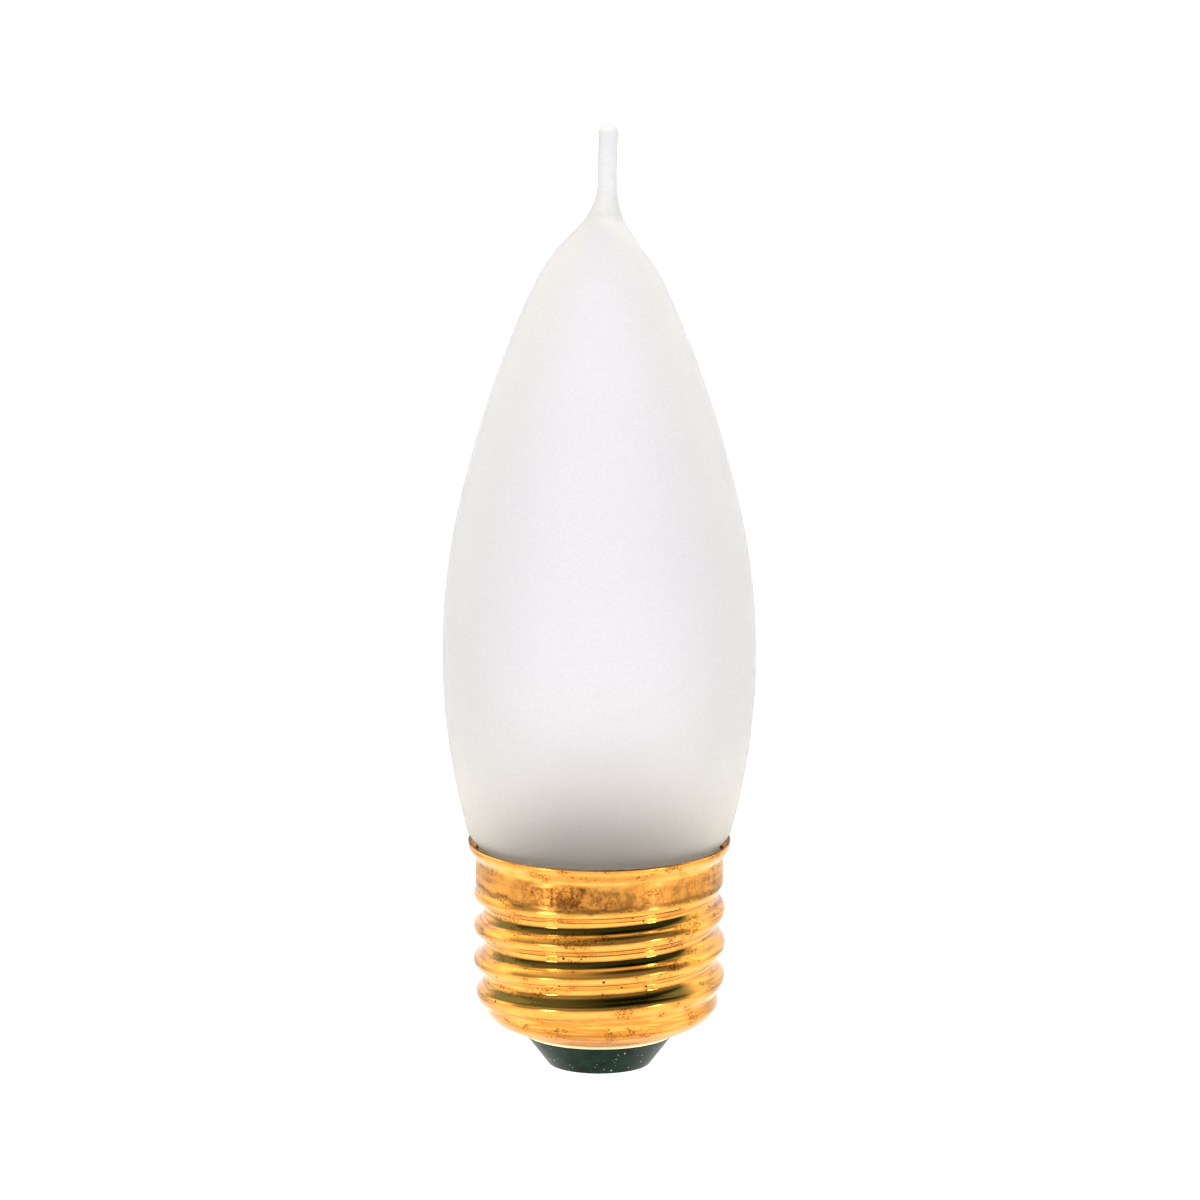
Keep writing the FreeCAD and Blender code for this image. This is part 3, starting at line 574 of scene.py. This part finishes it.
def thread_share(z):
    """How much of its full depth the thread has at a level."""
    top = ease((THREAD_TOP - z) / TOP_FADE)
    end = ease((z - (BOWL_LEVEL - END_DROP)) / END_FADE)
    return top * end


def shell_section(stations, azimuth, settings):
    """Outer and inner points of the sheet in the half plane at one azimuth."""
    crest = BOWL_LEVEL + CREST_RISE + settings.pitch * azimuth / (2 * math.pi)
    outer = []
    for radius, z, outward in stations:
        lift = thread_share(z) * knuckle(z - crest, settings.pitch, settings.depth)
        outer.append((radius + outward[0] * lift, z + outward[1] * lift))
    inner = []
    for i, point in enumerate(outer):
        after, before = outer[min(i + 1, len(outer) - 1)], outer[max(i - 1, 0)]
        along = Vector((after[0] - before[0], after[1] - before[1])).normalized()
        inner.append((point[0] + along.y * settings.wall, point[1] - along.x * settings.wall))
    return outer, inner


def brass_marks(tree):
    """Places on the shell and the patterns that its colour, its roughness and its relief share."""
    coords = add_node(tree, "ShaderNodeTexCoord").outputs["Object"]
    x, y, level = add_node(tree, "ShaderNodeSeparateXYZ", {0: coords}).outputs
    flat = add_node(tree, "ShaderNodeCombineXYZ", {"X": x, "Y": y})
    radius = add_node(tree, "ShaderNodeVectorMath", {0: flat.outputs[0]}, operation="LENGTH").outputs["Value"]
    around = add_node(tree, "ShaderNodeMath", {0: y, 1: x}, operation="ARCTAN2").outputs[0]
    # Rolling streaks are about 0.1 mm apart and run level around the shell.
    flattened = add_node(tree, "ShaderNodeMapping", {"Vector": coords, "Scale": (0.06, 0.06, 1.0)})
    streak = add_node(tree, "ShaderNodeTexNoise", {"Vector": flattened.outputs[0], "Scale": 1 / (0.3 * MM),
                                                   "Detail": 4.0}).outputs["Fac"]
    # Tarnish comes in patches of about 2 mm that are longer around the shell.
    stretched = add_node(tree, "ShaderNodeMapping", {"Vector": coords, "Scale": (0.45, 0.45, 1.0)})
    patch = add_node(tree, "ShaderNodeTexNoise", {"Vector": stretched.outputs[0], "Scale": 1 / (1.6 * MM),
                                                  "Detail": 5.0, "Roughness": 0.65}).outputs["Fac"]
    # The patches push borders up and down, so that they are ragged.
    ragged = add_node(tree, "ShaderNodeMath", {0: patch, 1: RAGGED, 2: level},
                      operation="MULTIPLY_ADD").outputs[0]
    # The rubbed band lies between the rim's flare and the first turn.
    band = masked(tree, (ragged, RUB_LOW), (ragged, RUB_HIGH))
    return {"coords": coords, "y": y, "level": level, "radius": radius, "around": around, "streak": streak,
            "patch": patch, "ragged": ragged, "band": band}


def brass_wear_and_painted_light(tree, settings, marks):
    """The brass's reflection colour, from the metal outwards: tarnish, painted shade at the sides, rub,
    painted dark reflections in the grooves, flecks, a painted highlight on the lip and a painted paler colour
    in reflections.
    """
    coords, level, around = marks["coords"], marks["level"], marks["around"]
    streak, patch, ragged = marks["streak"], marks["patch"], marks["ragged"]
    colour = blended(tree, patch, TARNISH_PATCHES, toned(settings.colour, TARNISH_TONE),
                     toned(settings.colour))
    # Painted shade: away from the front the brass is darker and greyer, in streaks along the rolling marks.
    colour = laid_over(tree, colour, toned(settings.colour, SIDE_SHADE_TONE), (streak, SIDE_SHADE_STREAKS),
                       (marks["y"], SIDE_SHADE_SPAN))
    # The worn stamping is left as upright strokes of about 0.2 mm in blotches of about 1 mm.
    unrolled = add_node(tree, "ShaderNodeMath", {0: around, 1: SKIRT_RADIUS}, operation="MULTIPLY").outputs[0]
    lengthened = add_node(tree, "ShaderNodeMath", {0: level, 1: 0.5}, operation="MULTIPLY").outputs[0]
    sheet = add_node(tree, "ShaderNodeCombineXYZ", {"X": unrolled, "Y": lengthened}).outputs[0]
    strokes = add_node(tree, "ShaderNodeTexNoise", {"Vector": sheet, "Scale": 1 / (1.1 * MM), "Detail": 4.0,
                                                    "Roughness": 0.9}).outputs["Fac"]
    rubbed = blended(tree, strokes, RUB_STROKES, linear("#6A3A16"), linear("#D89040"))
    # The middle of the front is rubbed most and its left end least.
    not_left = masked(tree, (around, RUB_LEFT))
    worn_off = add_node(tree, "ShaderNodeMath", {0: not_left, 1: RUB_BUT_LEFT, 2: RUB_EVERYWHERE},
                        operation="MULTIPLY_ADD").outputs[0]
    middle = masked(tree, (around, RUB_RIGHT), strength=not_left)
    worn_off = add_node(tree, "ShaderNodeMath", {0: middle, 1: RUB_MIDDLE, 2: worn_off},
                        operation="MULTIPLY_ADD").outputs[0]
    share = add_node(tree, "ShaderNodeMath", {0: marks["band"], 1: worn_off}, operation="MULTIPLY").outputs[0]
    colour = add_node(tree, "ShaderNodeMix", {"Factor": share, "A": colour, "B": rubbed},
                      data_type="RGBA").outputs["Result"]
    # Its lower border is a darker line.
    colour = laid_over(tree, colour, linear("#4A2E12"), (ragged, BORDER_LOW), (ragged, BORDER_HIGH),
                       strength=BORDER_SHARE)
    # On the bowl the rolling marks have gone orange.
    colour = laid_over(tree, colour, linear("#B8701F"), (streak, ORANGE_STREAKS), (level, BOWL_SPAN),
                       strength=BOWL_SHARE)
    # Painted dark reflection: the grooves at the front are near black where each starts to face up. In the
    # lowest one the dark starts later and reaches further out.
    face = add_node(tree, "ShaderNodeSeparateXYZ", {
        0: add_node(tree, "ShaderNodeNewGeometry").outputs["Normal"]}).outputs["Z"]
    lowest = masked(tree, (level, GROOVE_LOWEST))
    leaning = add_node(tree, "ShaderNodeMath", {0: lowest, 1: LOWEST_LEAN, 2: face},
                       operation="MULTIPLY_ADD").outputs[0]
    sunk = add_node(tree, "ShaderNodeMath", {0: lowest, 1: LOWEST_SINK, 2: marks["radius"]},
                    operation="MULTIPLY_ADD").outputs[0]
    colour = laid_over(tree, colour, linear("#544A22"), (leaning, GROOVE_FACE), (sunk, GROOVE_SUNK),
                       (level, GROOVE_FLOOR), (around, GROOVE_LEFT), (around, GROOVE_RIGHT),
                       strength=GROOVE_DARK_SHARE)
    # Pits are about 0.3 mm and sit a few millimetres apart.
    pits = add_node(tree, "ShaderNodeTexVoronoi", {"Vector": coords,
                                                   "Scale": 1 / (2.2 * MM)}).outputs["Distance"]
    # Flecks of tarnish are about 0.2 mm and gather in the patches.
    fleck = add_node(tree, "ShaderNodeTexNoise", {"Vector": coords, "Scale": 1 / (0.22 * MM), "Detail": 1.5,
                                                  "Roughness": 0.5}).outputs["Fac"]
    gathered = masked(tree, (patch, FLECK_PATCHES), strength=fleck)
    flecked = add_node(tree, "ShaderNodeMath", {0: masked(tree, (gathered, FLECK_SPAN)), 1: FLECK_SHARE,
                                                2: masked(tree, (pits, PIT_SPAN))},
                       operation="MULTIPLY_ADD", use_clamp=True).outputs[0]
    colour = add_node(tree, "ShaderNodeMix", {"Factor": flecked, "A": colour, "B": linear("#3A2410")},
                      data_type="RGBA").outputs["Result"]
    # Painted highlight: the lip round the hole is pale, near white.
    colour = laid_over(tree, colour, linear("#FBEBC0"), (level, LIP_SPAN))
    # Painted reflection: brass seen in a reflection, as the grooves see each other, takes a paler, less red
    # colour.
    mirrored = add_node(tree, "ShaderNodeLightPath").outputs["Is Glossy Ray"]
    return add_node(tree, "ShaderNodeMix", {"Factor": mirrored, "A": colour, "B": linear("#F2E2BC")},
                    data_type="RGBA").outputs["Result"]


def rolled_brass_material(settings):
    """Cartridge brass, rolled on a mandrel and lacquered. Rolling leaves fine level streaks that stretch each
    reflection along the thread. Handling has scuffed the crests and rubbed the skirt to a dull brown."""
    material, tree = new_material("cartridge_brass_rolled")
    marks = brass_marks(tree)
    streak, patch = marks["streak"], marks["patch"]
    colour = brass_wear_and_painted_light(tree, settings, marks)
    # The crests are scuffed, and the rubbed band and the bowl are duller than the rest.
    scuff = add_node(tree, "ShaderNodeMapRange", {
        "Value": marks["radius"], "From Min": THREAD_RADIUS - SCUFF_DEPTH, "From Max": THREAD_RADIUS,
        "To Min": 0.0, "To Max": SCUFF_ROUGH})
    grain = add_node(tree, "ShaderNodeMapRange", {
        "Value": streak, "From Min": STREAK_SPAN[0], "From Max": STREAK_SPAN[1],
        "To Min": STREAK_ROUGH[0], "To Max": STREAK_ROUGH[1]})
    rough = add_node(tree, "ShaderNodeMath", {0: scuff.outputs[0], 1: grain.outputs[0]}).outputs[0]
    satin = masked(tree, (marks["level"], SATIN_SPAN))
    for share, more in ((marks["band"], RUB_ROUGH), (satin, SATIN_ROUGH)):
        rough = add_node(tree, "ShaderNodeMath", {0: share, 1: more, 2: rough},
                         operation="MULTIPLY_ADD").outputs[0]
    rolled = add_node(tree, "ShaderNodeBump", {"Height": streak, "Strength": 0.35, "Distance": 0.01 * MM})
    bump = add_node(tree, "ShaderNodeBump", {"Height": patch, "Strength": 0.35, "Distance": 0.06 * MM,
                                             "Normal": rolled.outputs[0]})
    shader = add_node(tree, "ShaderNodeBsdfPrincipled", {
        "Base Color": colour, "Metallic": 1.0, "Roughness": rough, "Specular Tint": linear("#FFFAEF"),
        "Normal": bump.outputs[0]})
    add_node(tree, "ShaderNodeOutputMaterial", {"Surface": shader.outputs[0]})
    return material


# Values of a noise over which a face goes from its first tone to its second one
MOTTLE_SPAN = (0.35, 0.65)
PRESSED_SPAN = (0.35, 0.62)
DUST_SPAN = (0.775, 0.82)


def mottled_material(name, grain, detail, span, tones, metallic, roughness, relief=None):
    """A material that wanders between two tones. Its grain may have a relief of a strength and a depth."""
    material, tree = new_material(name)
    coords = add_node(tree, "ShaderNodeTexCoord").outputs["Object"]
    mottle = add_node(tree, "ShaderNodeTexNoise", {"Vector": coords, "Scale": 1 / grain,
                                                   "Detail": detail}).outputs["Fac"]
    dark, light = tones
    inputs = {"Base Color": blended(tree, mottle, span, linear(dark), linear(light)),
              "Metallic": metallic, "Roughness": roughness}
    if relief:
        strength, depth = relief
        inputs["Normal"] = add_node(tree, "ShaderNodeBump", {"Height": mottle, "Strength": strength,
                                                             "Distance": depth}).outputs[0]
    shader = add_node(tree, "ShaderNodeBsdfPrincipled", inputs)
    add_node(tree, "ShaderNodeOutputMaterial", {"Surface": shader.outputs[0]})
    return material


def cut_edge_material():
    """Cartridge brass, sheared at the rim. The bare cut has gone brown and dull."""
    return mottled_material("cartridge_brass_sheared", 0.8 * MM, 3.0, MOTTLE_SPAN, ("#4A2E14", "#A8692A"),
                            metallic=1.0, roughness=0.42)


class CANDLE_OT_rolled_shell(bpy.types.Operator):
    """Build the rolled brass shell with its thread"""
    bl_idname = "candle.rolled_shell"
    bl_label = "Rolled shell"

    def execute(self, context):
        settings = context.scene.candle_shell
        stations = shell_stations(settings.depth, STATION_STEP)
        count = settings.around
        outer_rings = [[] for _ in stations]
        inner_rings = [[] for _ in stations]
        for j in range(count):
            azimuth = 2 * math.pi * j / count
            across = Vector((math.cos(azimuth), math.sin(azimuth), 0))
            outer, inner = shell_section(stations, azimuth, settings)
            for i, (out, into) in enumerate(zip(outer, inner)):
                outer_rings[i].append(across * out[0] + Vector((0, 0, out[1])))
                inner_rings[i].append(across * into[0] + Vector((0, 0, into[1])))
        end = [inner_rings[-1]] if (len(inner_rings) - 1) % INNER_EVERY else []
        inner_rings = inner_rings[::INNER_EVERY] + end
        rings = outer_rings + inner_rings[::-1]
        verts, faces = skin(rings)
        last = (len(rings) - 1) * count
        faces += [(last + j, last + (j + 1) % count, (j + 1) % count, j) for j in range(count)]
        faces = [tuple(reversed(face)) for face in faces]
        piece = add_mesh("rolled_shell", verts, faces, [rolled_brass_material(settings), cut_edge_material()])
        for polygon in piece.data.polygons[-count:]:
            polygon.material_index = 1
        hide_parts("screw_shell")
        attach(piece, "root")
        return {"FINISHED"}


# Fittings that keep their solids and get their finish here

def black_glass_material():
    """Black bottle glass, moulded into the shell. It is nearly opaque, with a green cast, a soft gloss from
    the mould and a few specks of dust."""
    material, tree = new_material("black_glass_moulded")
    coords = add_node(tree, "ShaderNodeTexCoord").outputs["Object"]
    cloud = add_node(tree, "ShaderNodeTexNoise", {"Vector": coords, "Scale": 1 / (1.5 * MM),
                                                  "Detail": 3.0}).outputs["Fac"]
    colour = blended(tree, cloud, MOTTLE_SPAN, linear("#02150A"), linear("#072A17"))
    # Dust specks are about 0.15 mm.
    dust = add_node(tree, "ShaderNodeTexNoise", {"Vector": coords, "Scale": 1 / (0.35 * MM),
                                                 "Detail": 0.0}).outputs["Fac"]
    dusty = laid_over(tree, colour, linear("#A9AEA8"), (dust, DUST_SPAN))
    bump = add_node(tree, "ShaderNodeBump", {"Height": cloud, "Strength": 0.3, "Distance": 0.05 * MM})
    shader = add_node(tree, "ShaderNodeBsdfPrincipled", {
        "Base Color": dusty, "Roughness": 0.38, "IOR": 1.52, "Specular IOR Level": 0.1,
        "Normal": bump.outputs[0]})
    add_node(tree, "ShaderNodeOutputMaterial", {"Surface": shader.outputs[0]})
    return material


def pressed_brass_material():
    """Cartridge brass, pressed from strip and left bare. It has a plain satin gloss."""
    return mottled_material("cartridge_brass_pressed", 0.9 * MM, 4.0, PRESSED_SPAN, ("#A9793A", "#E0B060"),
                            metallic=1.0, roughness=0.28)


def solder_material():
    """Tin-lead solder, dripped and set. The skin is grey, slightly frosted and wrinkled where it froze."""
    material, tree = new_material("tin_solder_set")
    coords = add_node(tree, "ShaderNodeTexCoord").outputs["Object"]
    wrinkle = add_node(tree, "ShaderNodeTexNoise", {"Vector": coords, "Scale": 1 / (0.5 * MM),
                                                    "Detail": 4.0}).outputs["Fac"]
    rough = add_node(tree, "ShaderNodeMapRange", {"Value": wrinkle, "From Min": 0.3, "From Max": 0.7,
                                                  "To Min": 0.2, "To Max": 0.45})
    bump = add_node(tree, "ShaderNodeBump", {"Height": wrinkle, "Strength": 0.5, "Distance": 0.04 * MM})
    shader = add_node(tree, "ShaderNodeBsdfPrincipled", {
        "Base Color": linear("#B9B8B4"), "Metallic": 1.0, "Roughness": rough.outputs[0],
        "Normal": bump.outputs[0]})
    add_node(tree, "ShaderNodeOutputMaterial", {"Surface": shader.outputs[0]})
    return material


def cement_material():
    """Basing cement, marble flour and resin, baked. It is dull, sandy and slightly yellow."""
    return mottled_material("basing_cement_baked", 0.2 * MM, 3.0, MOTTLE_SPAN, ("#A8987C", "#D6C9AC"),
                            metallic=0.0, roughness=0.9, relief=(0.6, 0.05 * MM))


def lead_wire_material():
    """Copper-clad nickel iron, drawn. It is a dull reddish grey with fine draw marks."""
    return mottled_material("copper_clad_wire_drawn", 0.15 * MM, 2.0, MOTTLE_SPAN, ("#8C6A50", "#B08A68"),
                            metallic=1.0, roughness=0.35)


def weld_material():
    """Spot weld of brass and wire. The bead is dark, scorched and rough."""
    return mottled_material("brass_weld_scorched", 0.3 * MM, 3.0, MOTTLE_SPAN, ("#3A2A1C", "#8A7358"),
                            metallic=1.0, roughness=0.5, relief=(0.6, 0.05 * MM))


def dress(node, material):
    """Gives a carried-over solid its material."""
    slots = NODES[node].data.materials
    slots.clear()
    slots.append(material)


class CANDLE_OT_fittings(bpy.types.Operator):
    """Finish the insulator, the contact, the solder, the cement, the leads and the weld"""
    bl_idname = "candle.fittings"
    bl_label = "Fittings"

    def execute(self, context):
        wire = lead_wire_material()
        dress("base_insulator", black_glass_material())
        dress("centre_contact", pressed_brass_material())
        dress("contact_solder", solder_material())
        dress("basing_cement", cement_material())
        dress("centre_lead_wire", wire)
        dress("side_lead_wire", wire)
        dress("side_weld", weld_material())
        return {"FINISHED"}


# Studio: a lit white table, a painted surround and two low softboxes

TABLE_HALF = 1.4
TABLE_POWER = 0.86
RING_POWER = 1.38
RING_INNER = (0.125, 0.16)
RING_OUTER = (0.5, 0.3)

# Directions of the surround: azimuths from the front, to the right, and components of the unit direction
LEFT_WALL = degrees(-98, -118)
RIGHT_WALL = degrees(92, 112)
LEFT_GLOW = degrees(25, -95)
GLOW_RISE = (0.2, 0.55)
GLOW_SHARE = (0.1, 0.5)
BEHIND_SPAN = (-0.12, 0.18)
BACK_SPAN = (0.42, 0.98)
HIGH_SPAN = (0.62, 0.8)
SIDE_WALLS = lit("#FFFFE7", 1.88)
BACK_WALL = lit("#EEEBFF", 1.52)
ROOM = linear("#898E84")
ROOM_HIGH = linear("#2C3C38")
BACKDROP = lit("#FFFFFF", 1.05)

CAP_MIDDLE = Vector((0, 0, 15 * MM))
SOFTBOX_ELEVATION = math.radians(-6)
SOFTBOX_DISTANCE = 0.35
SOFTBOXES = (("softbox_left", math.radians(-48), (0.06, 0.04), 0.1),
             ("softbox_right", math.radians(52), (0.05, 0.04), 0.08))
CAMERA_SPOT = Vector((0.07 * MM, 0, 50.72 * MM))
CLIP_START = 0.05


def table_material():
    """White acrylic, lit from below. It is even and bright, so that it shows no shadow, and brightest in the
    ring over its lamps."""
    material, tree = new_material("white_acrylic_lit")
    coords = add_node(tree, "ShaderNodeTexCoord").outputs["Object"]
    away = add_node(tree, "ShaderNodeVectorMath", {0: coords}, operation="LENGTH").outputs["Value"]
    ring = masked(tree, (away, RING_INNER), (away, RING_OUTER))
    power = add_node(tree, "ShaderNodeMapRange", {"Value": ring, "To Min": TABLE_POWER,
                                                  "To Max": RING_POWER}).outputs[0]
    shader = add_node(tree, "ShaderNodeBsdfPrincipled", {
        "Base Color": linear("#8C8C8C"), "Roughness": 0.6, "Emission Color": linear("#FFFFFF"),
        "Emission Strength": power})
    clear = add_node(tree, "ShaderNodeBsdfTransparent")
    below = add_node(tree, "ShaderNodeNewGeometry").outputs["Backfacing"]
    mix = add_node(tree, "ShaderNodeMixShader", {0: below, 1: shader.outputs[0], 2: clear.outputs[0]})
    add_node(tree, "ShaderNodeOutputMaterial", {"Surface": mix.outputs[0]})
    return material


def paint_surround(scene):
    """Pale walls at the sides and the back, and a dim room in front that is lighter to the left and darkest
    high up. The camera sees a plain white backdrop."""
    world = bpy.data.worlds.new("studio_surround")
    world.use_nodes = True
    tree = world.node_tree
    tree.nodes.clear()
    direction = add_node(tree, "ShaderNodeTexCoord").outputs["Generated"]
    axes = add_node(tree, "ShaderNodeSeparateXYZ", {0: direction})
    facing = add_node(tree, "ShaderNodeMath", {0: axes.outputs["Y"], 1: -1.0}, operation="MULTIPLY")
    azimuth = add_node(tree, "ShaderNodeMath", {0: axes.outputs["X"], 1: facing.outputs[0]},
                       operation="ARCTAN2").outputs[0]
    walls_seen = add_node(tree, "ShaderNodeMath", {0: masked(tree, (azimuth, LEFT_WALL)),
                                                   1: masked(tree, (azimuth, RIGHT_WALL))}).outputs[0]
    upper = add_node(tree, "ShaderNodeMapRange", {
        "Value": axes.outputs["Z"], "From Min": GLOW_RISE[0], "From Max": GLOW_RISE[1],
        "To Min": GLOW_SHARE[0], "To Max": GLOW_SHARE[1]}).outputs[0]
    pale = add_node(tree, "ShaderNodeMath", {0: masked(tree, (azimuth, LEFT_GLOW)), 1: upper, 2: walls_seen},
                    operation="MULTIPLY_ADD", use_clamp=True).outputs[0]
    pale = add_node(tree, "ShaderNodeMath", {0: pale, 1: masked(tree, (axes.outputs["Y"], BEHIND_SPAN))},
                    operation="MAXIMUM").outputs[0]
    walls = laid_over(tree, SIDE_WALLS, BACK_WALL, (axes.outputs["Y"], BACK_SPAN))
    front = laid_over(tree, ROOM, ROOM_HIGH, (axes.outputs["Z"], HIGH_SPAN))
    painted = add_node(tree, "ShaderNodeMix", {"Factor": pale, "A": front, "B": walls},
                       data_type="RGBA").outputs["Result"]
    seen = add_node(tree, "ShaderNodeLightPath").outputs["Is Camera Ray"]
    shown = add_node(tree, "ShaderNodeMix", {"Factor": seen, "A": painted, "B": BACKDROP},
                     data_type="RGBA").outputs["Result"]
    light = add_node(tree, "ShaderNodeBackground", {"Color": shown, "Strength": 1.0})
    add_node(tree, "ShaderNodeOutputWorld", {"Surface": light.outputs[0]})
    scene.world = world


def aim(thing, spot):
    """Points a camera or a light at a spot."""
    thing.rotation_mode = "QUATERNION"
    thing.rotation_quaternion = (spot - thing.location).to_track_quat("-Z", "Y")


def add_softbox(name, azimuth, size, power):
    """A rectangular light that points at the cap and can't be seen itself."""
    light = bpy.data.lights.new(name, "AREA")
    light.shape = "RECTANGLE"
    light.size, light.size_y = size
    light.energy = power
    box = bpy.data.objects.new(name, light)
    bpy.context.scene.collection.objects.link(box)
    across = Vector((math.sin(azimuth), -math.cos(azimuth), 0)) * math.cos(SOFTBOX_ELEVATION)
    box.location = CAP_MIDDLE + (across + Vector((0, 0, math.sin(SOFTBOX_ELEVATION)))) * SOFTBOX_DISTANCE
    aim(box, CAP_MIDDLE)
    box.visible_camera = False


class CANDLE_OT_studio(bpy.types.Operator):
    """Set the table, the surround, the softboxes and the camera"""
    bl_idname = "candle.studio"
    bl_label = "Studio"

    def execute(self, context):
        scene = context.scene
        settings = scene.candle_studio
        corners = ((-1, -1), (1, -1), (1, 1), (-1, 1))
        verts = [Vector((x * TABLE_HALF, y * TABLE_HALF, -settings.floor_drop)) for x, y in corners]
        table = add_mesh("studio_table", verts, [(0, 1, 2, 3)], [table_material()])
        paint_surround(scene)
        for softbox in SOFTBOXES:
            add_softbox(*softbox)
        scene.view_settings.view_transform = "Standard"
        camera = bpy.data.objects.new("camera", bpy.data.cameras.new("camera"))
        scene.collection.objects.link(camera)
        camera.data.lens = settings.lens
        camera.data.clip_start = CLIP_START
        back = Vector((math.sin(settings.azimuth) * math.cos(settings.elevation),
                       -math.cos(settings.azimuth) * math.cos(settings.elevation),
                       math.sin(settings.elevation)))
        camera.location = CAMERA_SPOT + back * settings.distance
        aim(camera, CAMERA_SPOT)
        scene.camera = camera
        return {"FINISHED"}


class CANDLE_PT_panel(bpy.types.Panel):
    bl_idname = "CANDLE_PT_panel"
    bl_label = "Candle Bulb"
    bl_space_type = "VIEW_3D"
    bl_region_type = "UI"
    bl_category = "Candle Bulb"

    def draw(self, context):
        scene = context.scene
        for group in (scene.candle_glass, scene.candle_shell, scene.candle_studio):
            for name in group.bl_rna.properties.keys():
                if name not in ("name", "rna_type"):
                    self.layout.prop(group, name)
        for operator in OPERATORS:
            self.layout.operator(operator.bl_idname)


OPERATORS = (CANDLE_OT_frosted_glass, CANDLE_OT_rolled_shell, CANDLE_OT_fittings, CANDLE_OT_studio)
CLASSES = (GlassSettings, ShellSettings, StudioSettings) + OPERATORS + (CANDLE_PT_panel,)


def register():
    for entry in CLASSES:
        bpy.utils.register_class(entry)
    bpy.types.Scene.candle_glass = bpy.props.PointerProperty(type=GlassSettings)
    bpy.types.Scene.candle_shell = bpy.props.PointerProperty(type=ShellSettings)
    bpy.types.Scene.candle_studio = bpy.props.PointerProperty(type=StudioSettings)


def unregister():
    for name in ("candle_glass", "candle_shell", "candle_studio"):
        delattr(bpy.types.Scene, name)
    for entry in reversed(CLASSES):
        bpy.utils.unregister_class(entry)


def main():
    register()
    bpy.ops.candle.frosted_glass()
    bpy.ops.candle.rolled_shell()
    bpy.ops.candle.fittings()
    bpy.ops.candle.studio()


if __name__ == "__main__":
    main()
